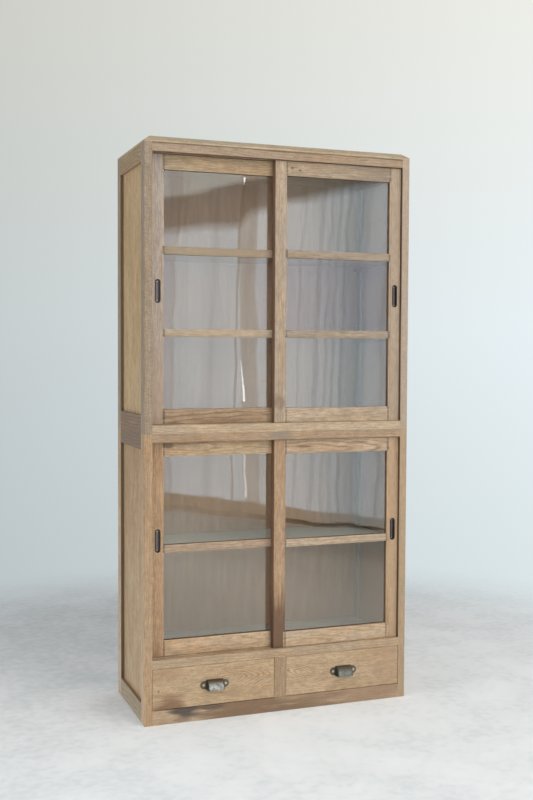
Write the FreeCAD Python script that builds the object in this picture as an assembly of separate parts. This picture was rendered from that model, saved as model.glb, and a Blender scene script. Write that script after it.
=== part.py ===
import FreeCAD, Part
import os

# A mizuya, the kitchen cabinet of a Japanese house, in oak: a lower case with two drawers and an upper
# case that lifts off it, each with a pair of glazed doors that slide past each other.
# Millimetres. +Z is up, +X is to the right of someone facing the cabinet, and the front faces -Y.
# Depths are counted from the front face of the cases backwards. save() moves them to the frame,
# whose origin is on the floor, midway between the sides and between the pulls and the back.

Vector = FreeCAD.Vector

# The cases
WIDTH = 900.0
DEPTH = 370.0
LOWER_CASE_HEIGHT = 909.0
UPPER_CASE_HEIGHT = 891.0
TOP_BOARD_THICK = 20.0
TOP_BOARD_EDGE = 5.0
TOP_BEVEL_INSET = 21.0
EDGE_EASE = 1.2
OVERRUN = 2.0
MATCH = 0.1

# The side frames, of two posts, two rails and a panel
POST_FACE = 25.0
POST_DEPTH = 45.0
UPPER_SIDE_RAIL = 56.0
LOWER_SIDE_TOP_RAIL = 50.0
LOWER_SIDE_FOOT_RAIL = 60.0
SIDE_TENON_LENGTH = 20.0
SIDE_TENON_THICK = 9.0
TENON_SHOULDER = 6.0
PANEL_RECESS = 9.0
PANEL_THICK = 7.0
PANEL_TONGUE = 5.0
PANEL_PLAY = 1.0

# The rails across the front, tenoned into the posts
UPPER_HEAD_HEIGHT = 28.0
LOWER_HEAD_HEIGHT = 27.0
SILL_HEIGHT = 27.0
LOWER_SILL_FOOT = 177.0
BASE_RAIL_HEIGHT = 46.0
BASE_RAIL_THICK = 25.0
STUB_TENON_LENGTH = 14.0
STUB_TENON_THICK = 11.0
STUB_TENON_SETBACK = 6.0

# The back, panels in grooves between rails, with a muntin behind each
BACK_PANEL_THICK = 6.0
BACK_PANEL_SETBACK = 14.0
BACK_RAIL_THICK = 25.0
BACK_RAIL_HEIGHT = 50.0
BACK_MUNTIN_WIDTH = 40.0

# The floors, the lower case's top and the shelves
BOARD_THICK = 12.0
BOARD_TONGUE = 5.0
FLOOR_DROP = 9.0
SHELF_THICK = 14.0
SHELF_FRONT_GAP = 2.0
SHELF_PLAY = 1.0
UPPER_SHELF_RISE = 6.0
LOWER_SHELF_DROP = 9.0
CLEAT_WIDTH = 14.0
CLEAT_HEIGHT = 16.0

# The sliding doors and their tracks
DOOR_THICK = 25.0
DOOR_SETBACK = 12.0
DOOR_GAP = 3.0
TRACK_LIP = 13.0
HEAD_GROOVE_DEPTH = 14.0
SILL_GROOVE_DEPTH = 3.0
GROOVE_PLAY = 0.5
DOOR_TONGUE_THICK = 16.0
DOOR_TONGUE_RISE = 8.0
DOOR_HEAD_GAP = 2.0
DOOR_FOOT_GAP = 1.0
LEFT_DOORS_AJAR = 7.0
STILE_WIDTH = 40.0
DOOR_TOP_RAIL = 45.0
UPPER_DOOR_FOOT_RAIL = 46.0
LOWER_DOOR_FOOT_RAIL = 49.0
BAR_HEIGHT = 25.0
UPPER_BAR_SHARES = (0.341, 0.648)
LOWER_BAR_SHARES = (0.502,)
DOOR_TENON_LENGTH = 28.0
DOOR_TENON_THICK = 9.0
BAR_TENON_SHOULDER = 1.0
MOULD_WIDTH = 6.0
MOULD_DEPTH = 2.5
MOULD_QUIRK = 0.8

# The glazing
GLASS_SETBACK = 10.0
GLASS_THICK = 3.0
GLASS_EDGE = 7.0
GLASS_PLAY = 0.5
BEAD_THICK = 8.0

# The finger pulls let into the doors
FINGER_PULL_WIDTH = 18.0
FINGER_PULL_HEIGHT = 74.0
FINGER_PULL_RIM = 2.2
FINGER_PULL_RIM_THICK = 0.8
FINGER_PULL_DEPTH = 8.0
FINGER_PULL_WALL = 1.0
UPPER_PULL_RISE = 129.0
LOWER_PULL_RISE = 27.0
NAIL_HEAD_RADIUS = 1.6
NAIL_HEAD_THICK = 0.7
NAIL_RADIUS = 0.8
NAIL_LENGTH = 10.0
NAIL_INSET = 4.0
NAIL_PLAY = 0.05

# The drawers
DRAWER_DIVIDER_WIDTH = 40.0
DRAWER_DIVIDER_THICK = 22.0
DRAWER_SETBACK = 1.0
DRAWER_GAP = 1.0
DRAWER_FRONT_THICK = 20.0
DRAWER_SIDE_THICK = 12.0
DRAWER_SIDE_HEIGHT = 114.0
DRAWER_LAP = 12.0
DRAWER_END_GAP = 2.0
DRAWER_BOTTOM_THICK = 5.0
DRAWER_BOTTOM_RISE = 8.0
DRAWER_BOTTOM_TONGUE = 6.0
RUNNER_WIDTH = 25.0
RUNNER_HEIGHT = 20.0
GUIDE_HEIGHT = 14.0
STOP_LENGTH = 12.0
STOP_HEIGHT = 14.0
DECK_BEARER_WIDTH = 20.0
DECK_BEARER_HEIGHT = 18.0

# The cup pulls of the drawers
CUP_PLATE_THICK = 1.5
CUP_PLATE_WIDTH = 94.0
CUP_PLATE_HEIGHT = 33.0
CUP_LOBE_HEIGHT = 25.0
CUP_WIDTH = 56.0
CUP_REACH = 25.0
CUP_RISE = 2.0
CUP_LIP = 3.0
CUP_WALL = 1.6
CUP_CHEEK_RADIUS = 7.0
CUP_SCREW_INSET = 10.5
SCREW_HEAD_RADIUS = 3.4
SCREW_HEAD_THICK = 1.6
SCREW_RADIUS = 1.6
SCREW_LENGTH = 13.0
SCREW_PLAY = 0.05

# What follows from these
HALF = WIDTH / 2
JAMB = HALF - POST_FACE
CASE_TOP = LOWER_CASE_HEIGHT + UPPER_CASE_HEIGHT
PULL_REACH = CUP_REACH - DRAWER_SETBACK
FRONT_Y = PULL_REACH - (DEPTH + PULL_REACH) / 2
REAR_POST_FRONT = DEPTH - POST_DEPTH
TRACK_DEPTH = DOOR_SETBACK + DOOR_THICK + DOOR_GAP + DOOR_THICK + TRACK_LIP
PANEL_GROOVE = PANEL_TONGUE + PANEL_PLAY
PANEL_OUTSIDE = HALF - PANEL_RECESS
PANEL_INSIDE = PANEL_OUTSIDE - PANEL_THICK
BACK_PANEL_REAR = DEPTH - BACK_PANEL_SETBACK
BACK_PANEL_FRONT = BACK_PANEL_REAR - BACK_PANEL_THICK
BACK_RAIL_FRONT = DEPTH - BACK_RAIL_THICK
DOOR_WIDTH = JAMB + STILE_WIDTH / 2
SHOULDER = (DOOR_THICK - DOOR_TONGUE_THICK) / 2
PULL_POCKET_DEPTH = FINGER_PULL_DEPTH + NAIL_PLAY
DOOR_TENON_FRONT = PULL_POCKET_DEPTH + NAIL_HEAD_RADIUS
DIVIDER_HALF = DRAWER_DIVIDER_WIDTH / 2
DRAWER_LENGTH = BACK_RAIL_FRONT - DRAWER_END_GAP - STOP_LENGTH - DRAWER_SETBACK


class Case:
    """The heights of one case, all counted from the floor."""

    def __init__(self, foot, top, head_height, sill_foot, side_rails, door_foot_rail, bar_shares, pull_rise):
        self.foot = foot
        self.top = top
        self.head = (top - head_height, top)
        self.sill = (sill_foot, sill_foot + SILL_HEIGHT)
        self.floor = (self.sill[1] - FLOOR_DROP - BOARD_THICK, self.sill[1] - FLOOR_DROP)
        self.foot_rail = (foot, foot + side_rails[0])
        self.top_rail = (top - side_rails[1], top)
        self.door = (self.sill[1] + DOOR_FOOT_GAP, self.head[0] - DOOR_HEAD_GAP)
        self.door_foot_rail = door_foot_rail
        door_height = self.door[1] - self.door[0]
        self.bars = [self.door[0] + share * door_height for share in bar_shares]
        self.pull = self.bars[0] + pull_rise


UPPER = Case(LOWER_CASE_HEIGHT, CASE_TOP, UPPER_HEAD_HEIGHT, LOWER_CASE_HEIGHT,
             (UPPER_SIDE_RAIL, UPPER_SIDE_RAIL), UPPER_DOOR_FOOT_RAIL, UPPER_BAR_SHARES, UPPER_PULL_RISE)
LOWER = Case(0.0, LOWER_CASE_HEIGHT, LOWER_HEAD_HEIGHT, LOWER_SILL_FOOT,
             (LOWER_SIDE_FOOT_RAIL, LOWER_SIDE_TOP_RAIL), LOWER_DOOR_FOOT_RAIL, LOWER_BAR_SHARES,
             LOWER_PULL_RISE)


def box(x, y, z):
    """A box between three pairs of limits."""
    return Part.makeBox(x[1] - x[0], y[1] - y[0], z[1] - z[0], Vector(x[0], y[0], z[0]))


def grown(limits, amount):
    """A pair of limits moved apart by an amount at each end."""
    return (limits[0] - amount, limits[1] + amount)


def prism(points, along):
    """A solid from an outline of points, extruded along a vector."""
    return Part.Face(Part.makePolygon(points + points[:1])).extrude(along)


def rod(radius, length, x, y, z):
    """A round rod that runs backwards from its front end's centre."""
    return Part.makeCylinder(radius, length, Vector(x, y, z), Vector(0, 1, 0))


def eased(shape, axis, places):
    """The shape with its edges along an axis chamfered where they pass through the places given."""
    ends = ["xyz".index(letter) for letter in "xyz" if letter != axis]
    edges = []
    for edge in shape.Edges:
        first, last = [vertex.Point for vertex in edge.Vertexes]
        runs = [Vector(first[ends[0]], first[ends[1]], 0), Vector(last[ends[0]], last[ends[1]], 0)]
        if any(all(run.isEqual(Vector(place[0], place[1], 0), MATCH) for run in runs) for place in places):
            edges.append(edge)
    return shape.makeChamfer(EDGE_EASE, edges)


def across(shape):
    """The shape mirrored to the other side of the cabinet's middle."""
    return shape.mirror(Vector(0, 0, 0), Vector(1, 0, 0))


def both_sides(shape):
    return [across(shape), shape]


def save(name, solids):
    """Writes one node's solids, moved to the frame."""
    group = Part.makeCompound(solids)
    group.translate(Vector(0, FRONT_Y, 0))
    for solid in group.Solids:
        if not solid.isValid() or solid.Volume <= 0:
            print("bad solid in", name)
    group.exportStep(os.path.join("parts", name + ".step"))
    print(name, len(group.Solids), round(group.Volume / 1000, 1))


# The side frames

def side_rails(case):
    """The foot and top rail of the right side frame, with tenons into both posts."""
    rails = []
    inner = PANEL_GROOVE + TENON_SHOULDER
    for level, shoulders in ((case.foot_rail, (TENON_SHOULDER, inner)), (case.top_rail, (inner, TENON_SHOULDER))):
        rail = box((JAMB, HALF), (POST_DEPTH, REAR_POST_FRONT), level)
        middle = (JAMB + HALF) / 2
        tenon = box((middle - SIDE_TENON_THICK / 2, middle + SIDE_TENON_THICK / 2),
                    (POST_DEPTH - SIDE_TENON_LENGTH, REAR_POST_FRONT + SIDE_TENON_LENGTH),
                    (level[0] + shoulders[0], level[1] - shoulders[1]))
        rails.append(rail.fuse(tenon).removeSplitter())
    return rails


def panel_limits(case, spare):
    """The right side panel's limits across, in depth and in height, its edges let into the frame."""
    return ((PANEL_INSIDE, PANEL_OUTSIDE),
            grown((POST_DEPTH, REAR_POST_FRONT), PANEL_TONGUE + spare),
            grown((case.foot_rail[1], case.top_rail[0]), PANEL_TONGUE + spare))


def side_panel(case):
    return box(*panel_limits(case, 0.0))


def board_wing(case, level):
    """The part of a floor or top board that is let into the side rails."""
    tongue = BOARD_TONGUE + JAMB
    return box((-tongue, tongue), (TRACK_DEPTH, REAR_POST_FRONT), level)


def finished_side_rails(case):
    """The side rails, grooved for the panel and for the boards between the sides."""
    groove = box(*panel_limits(case, PANEL_PLAY))
    rails = []
    for rail in side_rails(case):
        rail = rail.cut(groove)
        if case is UPPER:
            rail = rail.cut(board_wing(case, case.floor))
        else:
            rail = rail.cut(board_wing(case, (case.top - BOARD_THICK, case.top + OVERRUN)))
        rails.append(rail)
    return both_sides(rails[0]) + both_sides(rails[1])


def posts(case):
    """Four posts, mortised for every rail that meets them and grooved for the panels."""
    height = (case.foot, case.top)
    front = eased(box((JAMB, HALF), (0, POST_DEPTH), height), "z", [(HALF, 0.0)])
    rear = eased(box((JAMB, HALF), (REAR_POST_FRONT, DEPTH), height), "z", [(HALF, DEPTH)])
    groove = box(*panel_limits(case, PANEL_PLAY))
    for rail in side_rails(case):
        front = front.cut(rail)
        rear = rear.cut(rail)
    front = front.cut(groove)
    rear = rear.cut(groove).cut(back_panel_space(case))
    for tenon in front_tenons(case):
        front = front.cut(tenon)
    for rail in back_rails(case):
        rear = rear.cut(rail)
    return both_sides(front) + both_sides(rear)


# The rails across the front

def stub_tenon(level):
    """The stub tenons at both ends of a front rail, as one bar through the rail."""
    reach = JAMB + STUB_TENON_LENGTH
    return box((-reach, reach), (STUB_TENON_SETBACK, STUB_TENON_SETBACK + STUB_TENON_THICK),
               (level[0] + TENON_SHOULDER, level[1] - TENON_SHOULDER))


def front_tenons(case):
    tenons = [stub_tenon(case.head), stub_tenon(case.sill)]
    if case is LOWER:
        tenons.append(stub_tenon((0.0, BASE_RAIL_HEIGHT)))
    return tenons


def track_front(track):
    """The depth of the doors' front face in the front track, 0, or the rear one, 1."""
    return DOOR_SETBACK + track * (DOOR_THICK + DOOR_GAP)


def grooves(level):
    """The two door grooves along a head rail or sill."""
    cuts = []
    for track in range(2):
        front = track_front(track) + SHOULDER
        cuts.append(box(grown((-JAMB, JAMB), OVERRUN), grown((front, front + DOOR_TONGUE_THICK), GROOVE_PLAY),
                        level))
    return cuts


def board_edge(level):
    """The tongue of a board, let into the back edge of a head rail or sill."""
    return box(grown((-JAMB, JAMB), OVERRUN), (TRACK_DEPTH - BOARD_TONGUE, TRACK_DEPTH + OVERRUN), level)


def head_rail(case):
    rail = box((-JAMB, JAMB), (0, TRACK_DEPTH), case.head)
    rail = eased(rail, "x", [(0.0, case.head[0])]).fuse(stub_tenon(case.head))
    for groove in grooves((case.head[0] - OVERRUN, case.head[0] + HEAD_GROOVE_DEPTH)):
        rail = rail.cut(groove)
    if case is LOWER:
        rail = rail.cut(board_edge((case.top - BOARD_THICK, case.top + OVERRUN)))
    return rail.removeSplitter()


def sill(case):
    rail = box((-JAMB, JAMB), (0, TRACK_DEPTH), case.sill)
    rail = eased(rail, "x", [(0.0, case.sill[1])]).fuse(stub_tenon(case.sill))
    for groove in grooves((case.sill[1] - SILL_GROOVE_DEPTH, case.sill[1] + OVERRUN)):
        rail = rail.cut(groove)
    rail = rail.cut(board_edge(case.floor))
    if case is LOWER:
        rail = rail.cut(divider_tenon())
    return rail.removeSplitter()


def base_rail():
    level = (0.0, BASE_RAIL_HEIGHT)
    rail = box((-JAMB, JAMB), (0, BASE_RAIL_THICK), level)
    rail = eased(rail, "x", [(0.0, BASE_RAIL_HEIGHT)]).fuse(stub_tenon(level)).cut(divider_tenon())
    return rail.removeSplitter()


def divider_tenon():
    """The tenons at the head and foot of the upright between the drawers, as one bar through it."""
    return box(grown((-DIVIDER_HALF, DIVIDER_HALF), -TENON_SHOULDER),
               (STUB_TENON_SETBACK, STUB_TENON_SETBACK + STUB_TENON_THICK),
               grown((BASE_RAIL_HEIGHT, LOWER_SILL_FOOT), STUB_TENON_THICK))


def drawer_divider():
    upright = box((-DIVIDER_HALF, DIVIDER_HALF), (0, DRAWER_DIVIDER_THICK), (BASE_RAIL_HEIGHT, LOWER_SILL_FOOT))
    return upright.fuse(divider_tenon()).removeSplitter()


# The back

def back_rail_levels(case):
    return (case.foot, case.foot + BACK_RAIL_HEIGHT), (case.top - BACK_RAIL_HEIGHT, case.top)


def back_rails(case):
    """The foot and top rail of the back, before they are grooved."""
    rails = []
    reach = JAMB + STUB_TENON_LENGTH
    inner = PANEL_GROOVE + TENON_SHOULDER
    foot, top = back_rail_levels(case)
    for level, shoulders in ((foot, (TENON_SHOULDER, inner)), (top, (inner, TENON_SHOULDER))):
        rail = box((-JAMB, JAMB), (BACK_RAIL_FRONT, DEPTH), level)
        tenon = box((-reach, reach), (DEPTH - STUB_TENON_SETBACK - STUB_TENON_THICK, DEPTH - STUB_TENON_SETBACK),
                    (level[0] + shoulders[0], level[1] - shoulders[1]))
        rails.append(rail.fuse(tenon).removeSplitter())
    return rails


def back_panel_limits(case, spare):
    foot, top = back_rail_levels(case)
    return (grown((-JAMB, JAMB), PANEL_TONGUE + spare), (BACK_PANEL_FRONT, BACK_PANEL_REAR),
            grown((foot[1], top[0]), PANEL_TONGUE + spare))


def back_panel(case):
    return box(*back_panel_limits(case, 0.0))


def back_panel_space(case):
    return box(*back_panel_limits(case, PANEL_PLAY))


def back_muntin(case):
    foot, top = back_rail_levels(case)
    half = BACK_MUNTIN_WIDTH / 2
    return box((-half, half), (BACK_PANEL_REAR, DEPTH), (foot[1], top[0]))


def finished_back_rails(case):
    foot, top = [rail.cut(back_panel_space(case)) for rail in back_rails(case)]
    if case is LOWER:
        top = top.cut(top_board_of_lower_case())
    return [foot, top, back_muntin(case)]


# The boards between the sides

def floor_board(case):
    """A board tongued into the sill and the side rails, whose back edge meets the back."""
    rear = BACK_RAIL_FRONT if case is UPPER else BACK_PANEL_FRONT
    board = box((-JAMB, JAMB), (TRACK_DEPTH - BOARD_TONGUE, rear), case.floor)
    if case is UPPER:
        wing = board_wing(case, case.floor)
    else:
        wing = box((-PANEL_INSIDE, PANEL_INSIDE), (TRACK_DEPTH, REAR_POST_FRONT), case.floor)
    return board.fuse(wing).removeSplitter()


def top_board_of_lower_case():
    """The lower case's own top, dropped flush into rebates in its head rail, side rails and back rail."""
    level = (LOWER.top - BOARD_THICK, LOWER.top)
    board = box((-JAMB, JAMB), (TRACK_DEPTH - BOARD_TONGUE, BACK_RAIL_FRONT + BOARD_TONGUE), level)
    return board.fuse(board_wing(LOWER, level)).removeSplitter()


def top_board():
    """The bevelled top: square at the back, bevelled along the front and both ends."""
    foot = CASE_TOP
    brim = foot + TOP_BOARD_EDGE
    crown = foot + TOP_BOARD_THICK
    inner = HALF - TOP_BEVEL_INSET
    ends = [(-HALF, foot), (HALF, foot), (HALF, brim), (inner, crown), (-inner, crown), (-HALF, brim)]
    sides = [(0, foot), (DEPTH, foot), (DEPTH, crown), (TOP_BEVEL_INSET, crown), (0, brim)]
    along_depth = prism([Vector(x, 0, z) for x, z in ends], Vector(0, DEPTH, 0))
    along_width = prism([Vector(-HALF, y, z) for y, z in sides], Vector(WIDTH, 0, 0))
    return along_depth.common(along_width)


def shelf_tops():
    return [bar + UPPER_SHELF_RISE for bar in UPPER.bars] + [bar - LOWER_SHELF_DROP for bar in LOWER.bars]


def shelves():
    """Loose boards on cleats, one behind each level of door bars."""
    width = grown((-JAMB, JAMB), -SHELF_PLAY)
    depth = (TRACK_DEPTH + SHELF_FRONT_GAP, BACK_PANEL_FRONT)
    return [eased(box(width, depth, (top - SHELF_THICK, top)), "x", [(depth[0], top)]) for top in shelf_tops()]


def shelf_cleats():
    """A cleat under each shelf end, nailed to the side panel and the rear post."""
    cleats = []
    for top in shelf_tops():
        level = (top - SHELF_THICK - CLEAT_HEIGHT, top - SHELF_THICK)
        inner = JAMB - CLEAT_WIDTH
        cleat = box((inner, JAMB), (TRACK_DEPTH + SHELF_FRONT_GAP, BACK_PANEL_FRONT), level)
        packing = box((inner, PANEL_INSIDE), (TRACK_DEPTH + SHELF_FRONT_GAP, REAR_POST_FRONT), level)
        cleats += both_sides(cleat.fuse(packing).removeSplitter())
    return cleats


# The doors, drawn from their own left edge and front face, with the finger pull in the right stile

def stadium(width, height, front, rear, x, z):
    """An upright plate with round ends."""
    radius = width / 2
    straight = height / 2 - radius
    plate = box((x - radius, x + radius), (front, rear), (z - straight, z + straight))
    for end in (z - straight, z + straight):
        plate = plate.fuse(rod(radius, rear - front, x, front, end))
    return plate.removeSplitter()


def pane_limits(case):
    """The sight size of each pane of a door, from the foot up."""
    levels = [case.door[0] + case.door_foot_rail]
    for bar in case.bars:
        levels += [bar - BAR_HEIGHT / 2, bar + BAR_HEIGHT / 2]
    levels.append(case.door[1] - DOOR_TOP_RAIL)
    across_sight = (STILE_WIDTH, DOOR_WIDTH - STILE_WIDTH)
    return [(across_sight, level) for level in zip(levels[::2], levels[1::2])]


def rectangle(x, y, z):
    return Part.makePolygon([Vector(x[0], y, z[0]), Vector(x[1], y, z[0]), Vector(x[1], y, z[1]),
                             Vector(x[0], y, z[1]), Vector(x[0], y, z[0])])


def pane_cut(sight):
    """The moulded edge round a pane at the front, and its glass rebate at the back."""
    x, z = sight
    wide_x, wide_z = grown(x, MOULD_WIDTH), grown(z, MOULD_WIDTH)
    quirk = box(wide_x, (-OVERRUN, MOULD_QUIRK), wide_z)
    slope = Part.makeLoft([rectangle(wide_x, MOULD_QUIRK, wide_z), rectangle(x, MOULD_DEPTH, z)], True, True)
    rebate = box(grown(x, GLASS_EDGE), (GLASS_SETBACK, DOOR_THICK + OVERRUN), grown(z, GLASS_EDGE))
    return [quirk, slope, rebate]


def door_end_cuts(case):
    """What is cut away at the head and foot of a door to leave its tongues."""
    width = grown((0, DOOR_WIDTH), OVERRUN)
    head = (case.door[1], case.door[1] + HEAD_GROOVE_DEPTH)
    foot = (case.sill[0], case.door[0])
    cuts = []
    for level in (head, foot):
        cuts.append(box(width, (-OVERRUN, SHOULDER), level))
        cuts.append(box(width, (DOOR_THICK - SHOULDER, DOOR_THICK + OVERRUN), level))
    return cuts


def door_crosspiece(level, tenon_level):
    """A rail or bar between the stiles, with tenons, and ears scribed over the stiles' moulding."""
    left, right = STILE_WIDTH, DOOR_WIDTH - STILE_WIDTH
    piece = box((left, right), (0, DOOR_THICK), level)
    ears = box(grown((left, right), MOULD_WIDTH), (0, MOULD_DEPTH), level)
    tenon = box(grown((left, right), DOOR_TENON_LENGTH), (DOOR_TENON_FRONT, DOOR_TENON_FRONT + DOOR_TENON_THICK),
                tenon_level)
    return piece.fuse(ears).fuse(tenon)


def door_crosspieces(case):
    """The top rail, the foot rail and the bars, before the panes are cut."""
    inner = GLASS_EDGE + BAR_TENON_SHOULDER
    low, high = case.door
    top = door_crosspiece((high - DOOR_TOP_RAIL, high), (high - DOOR_TOP_RAIL + inner, high - TENON_SHOULDER))
    foot = door_crosspiece((low, low + case.door_foot_rail),
                           (low + TENON_SHOULDER, low + case.door_foot_rail - inner))
    half = BAR_HEIGHT / 2
    bars = [door_crosspiece((bar - half, bar + half), (bar - half + inner, bar + half - inner))
            for bar in case.bars]
    sight = (STILE_WIDTH, DOOR_WIDTH - STILE_WIDTH)
    tongue = (SHOULDER, DOOR_THICK - SHOULDER)
    top = top.fuse(box(sight, tongue, (high, case.head[0] + DOOR_TONGUE_RISE)))
    foot = foot.fuse(box(sight, tongue, (case.sill[1] - SILL_GROOVE_DEPTH, low)))
    return top, foot, bars


def stiles(case, crosspieces):
    """The two stiles, mortised for the crosspieces and with a pocket for the finger pull."""
    height = (case.sill[1] - SILL_GROOVE_DEPTH, case.head[0] + DOOR_TONGUE_RISE)
    left = eased(box((0, STILE_WIDTH), (0, DOOR_THICK), height), "z", [(0.0, 0.0)])
    right = eased(box((DOOR_WIDTH - STILE_WIDTH, DOOR_WIDTH), (0, DOOR_THICK), height), "z", [(DOOR_WIDTH, 0.0)])
    pocket = stadium(FINGER_PULL_WIDTH - 2 * FINGER_PULL_RIM + 2 * NAIL_PLAY,
                     FINGER_PULL_HEIGHT - 2 * FINGER_PULL_RIM + 2 * NAIL_PLAY,
                     -OVERRUN, PULL_POCKET_DEPTH, DOOR_WIDTH - STILE_WIDTH / 2, case.pull)
    finished = []
    for stile in (left, right.cut(pocket)):
        for cut in door_end_cuts(case) + crosspieces:
            stile = stile.cut(cut)
        finished.append(stile)
    return finished


def glass(case):
    """One sheet for each pane, with a little play in its rebate."""
    depth = (GLASS_SETBACK, GLASS_SETBACK + GLASS_THICK)
    edge = GLASS_EDGE - GLASS_PLAY
    return [box(grown(x, edge), depth, grown(z, edge)) for x, z in pane_limits(case)]


def glazing_beads(case):
    """Four beads behind each sheet of glass, the upright ones between the level ones."""
    depth = (GLASS_SETBACK + GLASS_THICK, GLASS_SETBACK + GLASS_THICK + BEAD_THICK)
    beads = []
    for x, z in pane_limits(case):
        outer_x, outer_z = grown(x, GLASS_EDGE), grown(z, GLASS_EDGE)
        beads.append(box(outer_x, depth, (outer_z[0], z[0])))
        beads.append(box(outer_x, depth, (z[1], outer_z[1])))
        beads.append(box((outer_x[0], x[0]), depth, z))
        beads.append(box((x[1], outer_x[1]), depth, z))
    return beads


def pull_nails(case, play):
    """The two nails that hold a finger pull, through the floor of its dish."""
    x = DOOR_WIDTH - STILE_WIDTH / 2
    reach = FINGER_PULL_HEIGHT / 2 - FINGER_PULL_RIM - FINGER_PULL_WALL - NAIL_INSET
    floor = FINGER_PULL_DEPTH - FINGER_PULL_WALL
    return [rod(NAIL_RADIUS + play, NAIL_LENGTH + play, x, floor, case.pull + side * reach) for side in (-1, 1)]


def finger_pull(case):
    """An iron dish with a thin rim on the face of the stile, and its two nails."""
    x = DOOR_WIDTH - STILE_WIDTH / 2
    z = case.pull
    body_width = FINGER_PULL_WIDTH - 2 * FINGER_PULL_RIM
    body_height = FINGER_PULL_HEIGHT - 2 * FINGER_PULL_RIM
    rim = stadium(FINGER_PULL_WIDTH, FINGER_PULL_HEIGHT, -FINGER_PULL_RIM_THICK, 0.0, x, z)
    body = stadium(body_width, body_height, -FINGER_PULL_RIM_THICK, FINGER_PULL_DEPTH, x, z)
    hollow = stadium(body_width - 2 * FINGER_PULL_WALL, body_height - 2 * FINGER_PULL_WALL,
                     -FINGER_PULL_RIM_THICK - OVERRUN, FINGER_PULL_DEPTH - FINGER_PULL_WALL, x, z)
    dish = rim.fuse(body).cut(hollow)
    for hole in pull_nails(case, NAIL_PLAY):
        dish = dish.cut(hole)
    pieces = [dish.removeSplitter()]
    for nail in pull_nails(case, 0.0):
        place = nail.BoundBox
        head = rod(NAIL_HEAD_RADIUS, NAIL_HEAD_THICK, x, place.YMin - NAIL_HEAD_THICK, place.Center.z)
        pieces.append(nail.fuse(head).removeSplitter())
    return pieces


def door(case, hand):
    """One door's pieces by name, placed in its track: right doors in front, left doors behind."""
    top, foot, bars = door_crosspieces(case)
    pieces = {"stiles": stiles(case, [top, foot] + bars), "top_rail": [top], "foot_rail": [foot], "bars": bars}
    cuts = pull_nails(case, NAIL_PLAY)
    for sight in pane_limits(case):
        cuts += pane_cut(sight)
    for solids in pieces.values():
        for number, solid in enumerate(solids):
            for cut in cuts:
                solid = solid.cut(cut)
            solids[number] = solid.removeSplitter()
    pieces["panes"] = glass(case)
    pieces["beads"] = glazing_beads(case)
    pieces["pull"] = finger_pull(case)
    for solids in pieces.values():
        for number, solid in enumerate(solids):
            if hand == "left":
                solid = solid.mirror(Vector(DOOR_WIDTH / 2, 0, 0), Vector(1, 0, 0))
                place = Vector(LEFT_DOORS_AJAR - JAMB, track_front(1), 0)
            else:
                place = Vector(JAMB - DOOR_WIDTH, track_front(0), 0)
            solid.translate(place)
            solids[number] = solid
    return pieces


# The drawers, the right one drawn and the left one mirrored

def drawer_limits():
    """The right drawer's limits across and from front to back."""
    return grown((DIVIDER_HALF, JAMB), -DRAWER_GAP), (DRAWER_SETBACK, DRAWER_SETBACK + DRAWER_LENGTH)


def drawer_sides():
    width, depth = drawer_limits()
    level = (BASE_RAIL_HEIGHT, BASE_RAIL_HEIGHT + DRAWER_SIDE_HEIGHT)
    run = (depth[0] + DRAWER_FRONT_THICK - DRAWER_LAP, depth[1])
    sides = [box((width[0], width[0] + DRAWER_SIDE_THICK), run, level),
             box((width[1] - DRAWER_SIDE_THICK, width[1]), run, level)]
    return [side.cut(drawer_bottom()) for side in sides]


def drawer_bottom():
    """A thin board in grooves in the front and sides, which runs under the back."""
    width, depth = drawer_limits()
    inside = DRAWER_BOTTOM_TONGUE - DRAWER_SIDE_THICK
    foot = BASE_RAIL_HEIGHT + DRAWER_BOTTOM_RISE
    return box(grown(width, inside), (depth[0] + DRAWER_FRONT_THICK - DRAWER_BOTTOM_TONGUE, depth[1]),
               (foot, foot + DRAWER_BOTTOM_THICK))


def drawer_back():
    width, depth = drawer_limits()
    foot = BASE_RAIL_HEIGHT + DRAWER_BOTTOM_RISE + DRAWER_BOTTOM_THICK
    return box(grown(width, -DRAWER_SIDE_THICK), (depth[1] - DRAWER_SIDE_THICK, depth[1]),
               (foot, BASE_RAIL_HEIGHT + DRAWER_SIDE_HEIGHT))


def drawer_front():
    """The oak front, lapped over the sides and grooved for the bottom."""
    width, depth = drawer_limits()
    level = grown((BASE_RAIL_HEIGHT, LOWER_SILL_FOOT), -DRAWER_GAP)
    front = box(width, (depth[0], depth[0] + DRAWER_FRONT_THICK), level)
    front = eased(front, "x", [(depth[0], level[0]), (depth[0], level[1])])
    for side in drawer_sides():
        front = front.cut(side)
    front = front.cut(drawer_bottom())
    for place in cup_screw_places():
        front = front.cut(rod(SCREW_RADIUS + SCREW_PLAY, SCREW_LENGTH + SCREW_PLAY, *place))
    return front


def cup_centre():
    """Where the middle of the cup pull meets the right drawer's face."""
    width, depth = drawer_limits()
    return Vector(sum(width) / 2, depth[0], (BASE_RAIL_HEIGHT + LOWER_SILL_FOOT) / 2)


def cup_screw_places():
    """The point under each screw's head, on the front of the pull's plate."""
    centre = cup_centre()
    reach = CUP_PLATE_WIDTH / 2 - CUP_SCREW_INSET
    return [(centre.x + side * reach, centre.y - CUP_PLATE_THICK, centre.z) for side in (-1, 1)]


def cup_plate():
    """The pull's back plate, with a round lobe at each end for a screw."""
    x, face, z = cup_centre()
    depth = (face - CUP_PLATE_THICK, face)
    lobe = CUP_LOBE_HEIGHT / 2
    reach = CUP_PLATE_WIDTH / 2 - lobe
    plate = box(grown((x, x), CUP_WIDTH / 2), depth, grown((z, z), CUP_PLATE_HEIGHT / 2))
    plate = plate.fuse(box(grown((x, x), reach), depth, grown((z, z), lobe)))
    for side in (-1, 1):
        plate = plate.fuse(rod(lobe, CUP_PLATE_THICK, x + side * reach, depth[0], z))
    return plate


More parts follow.
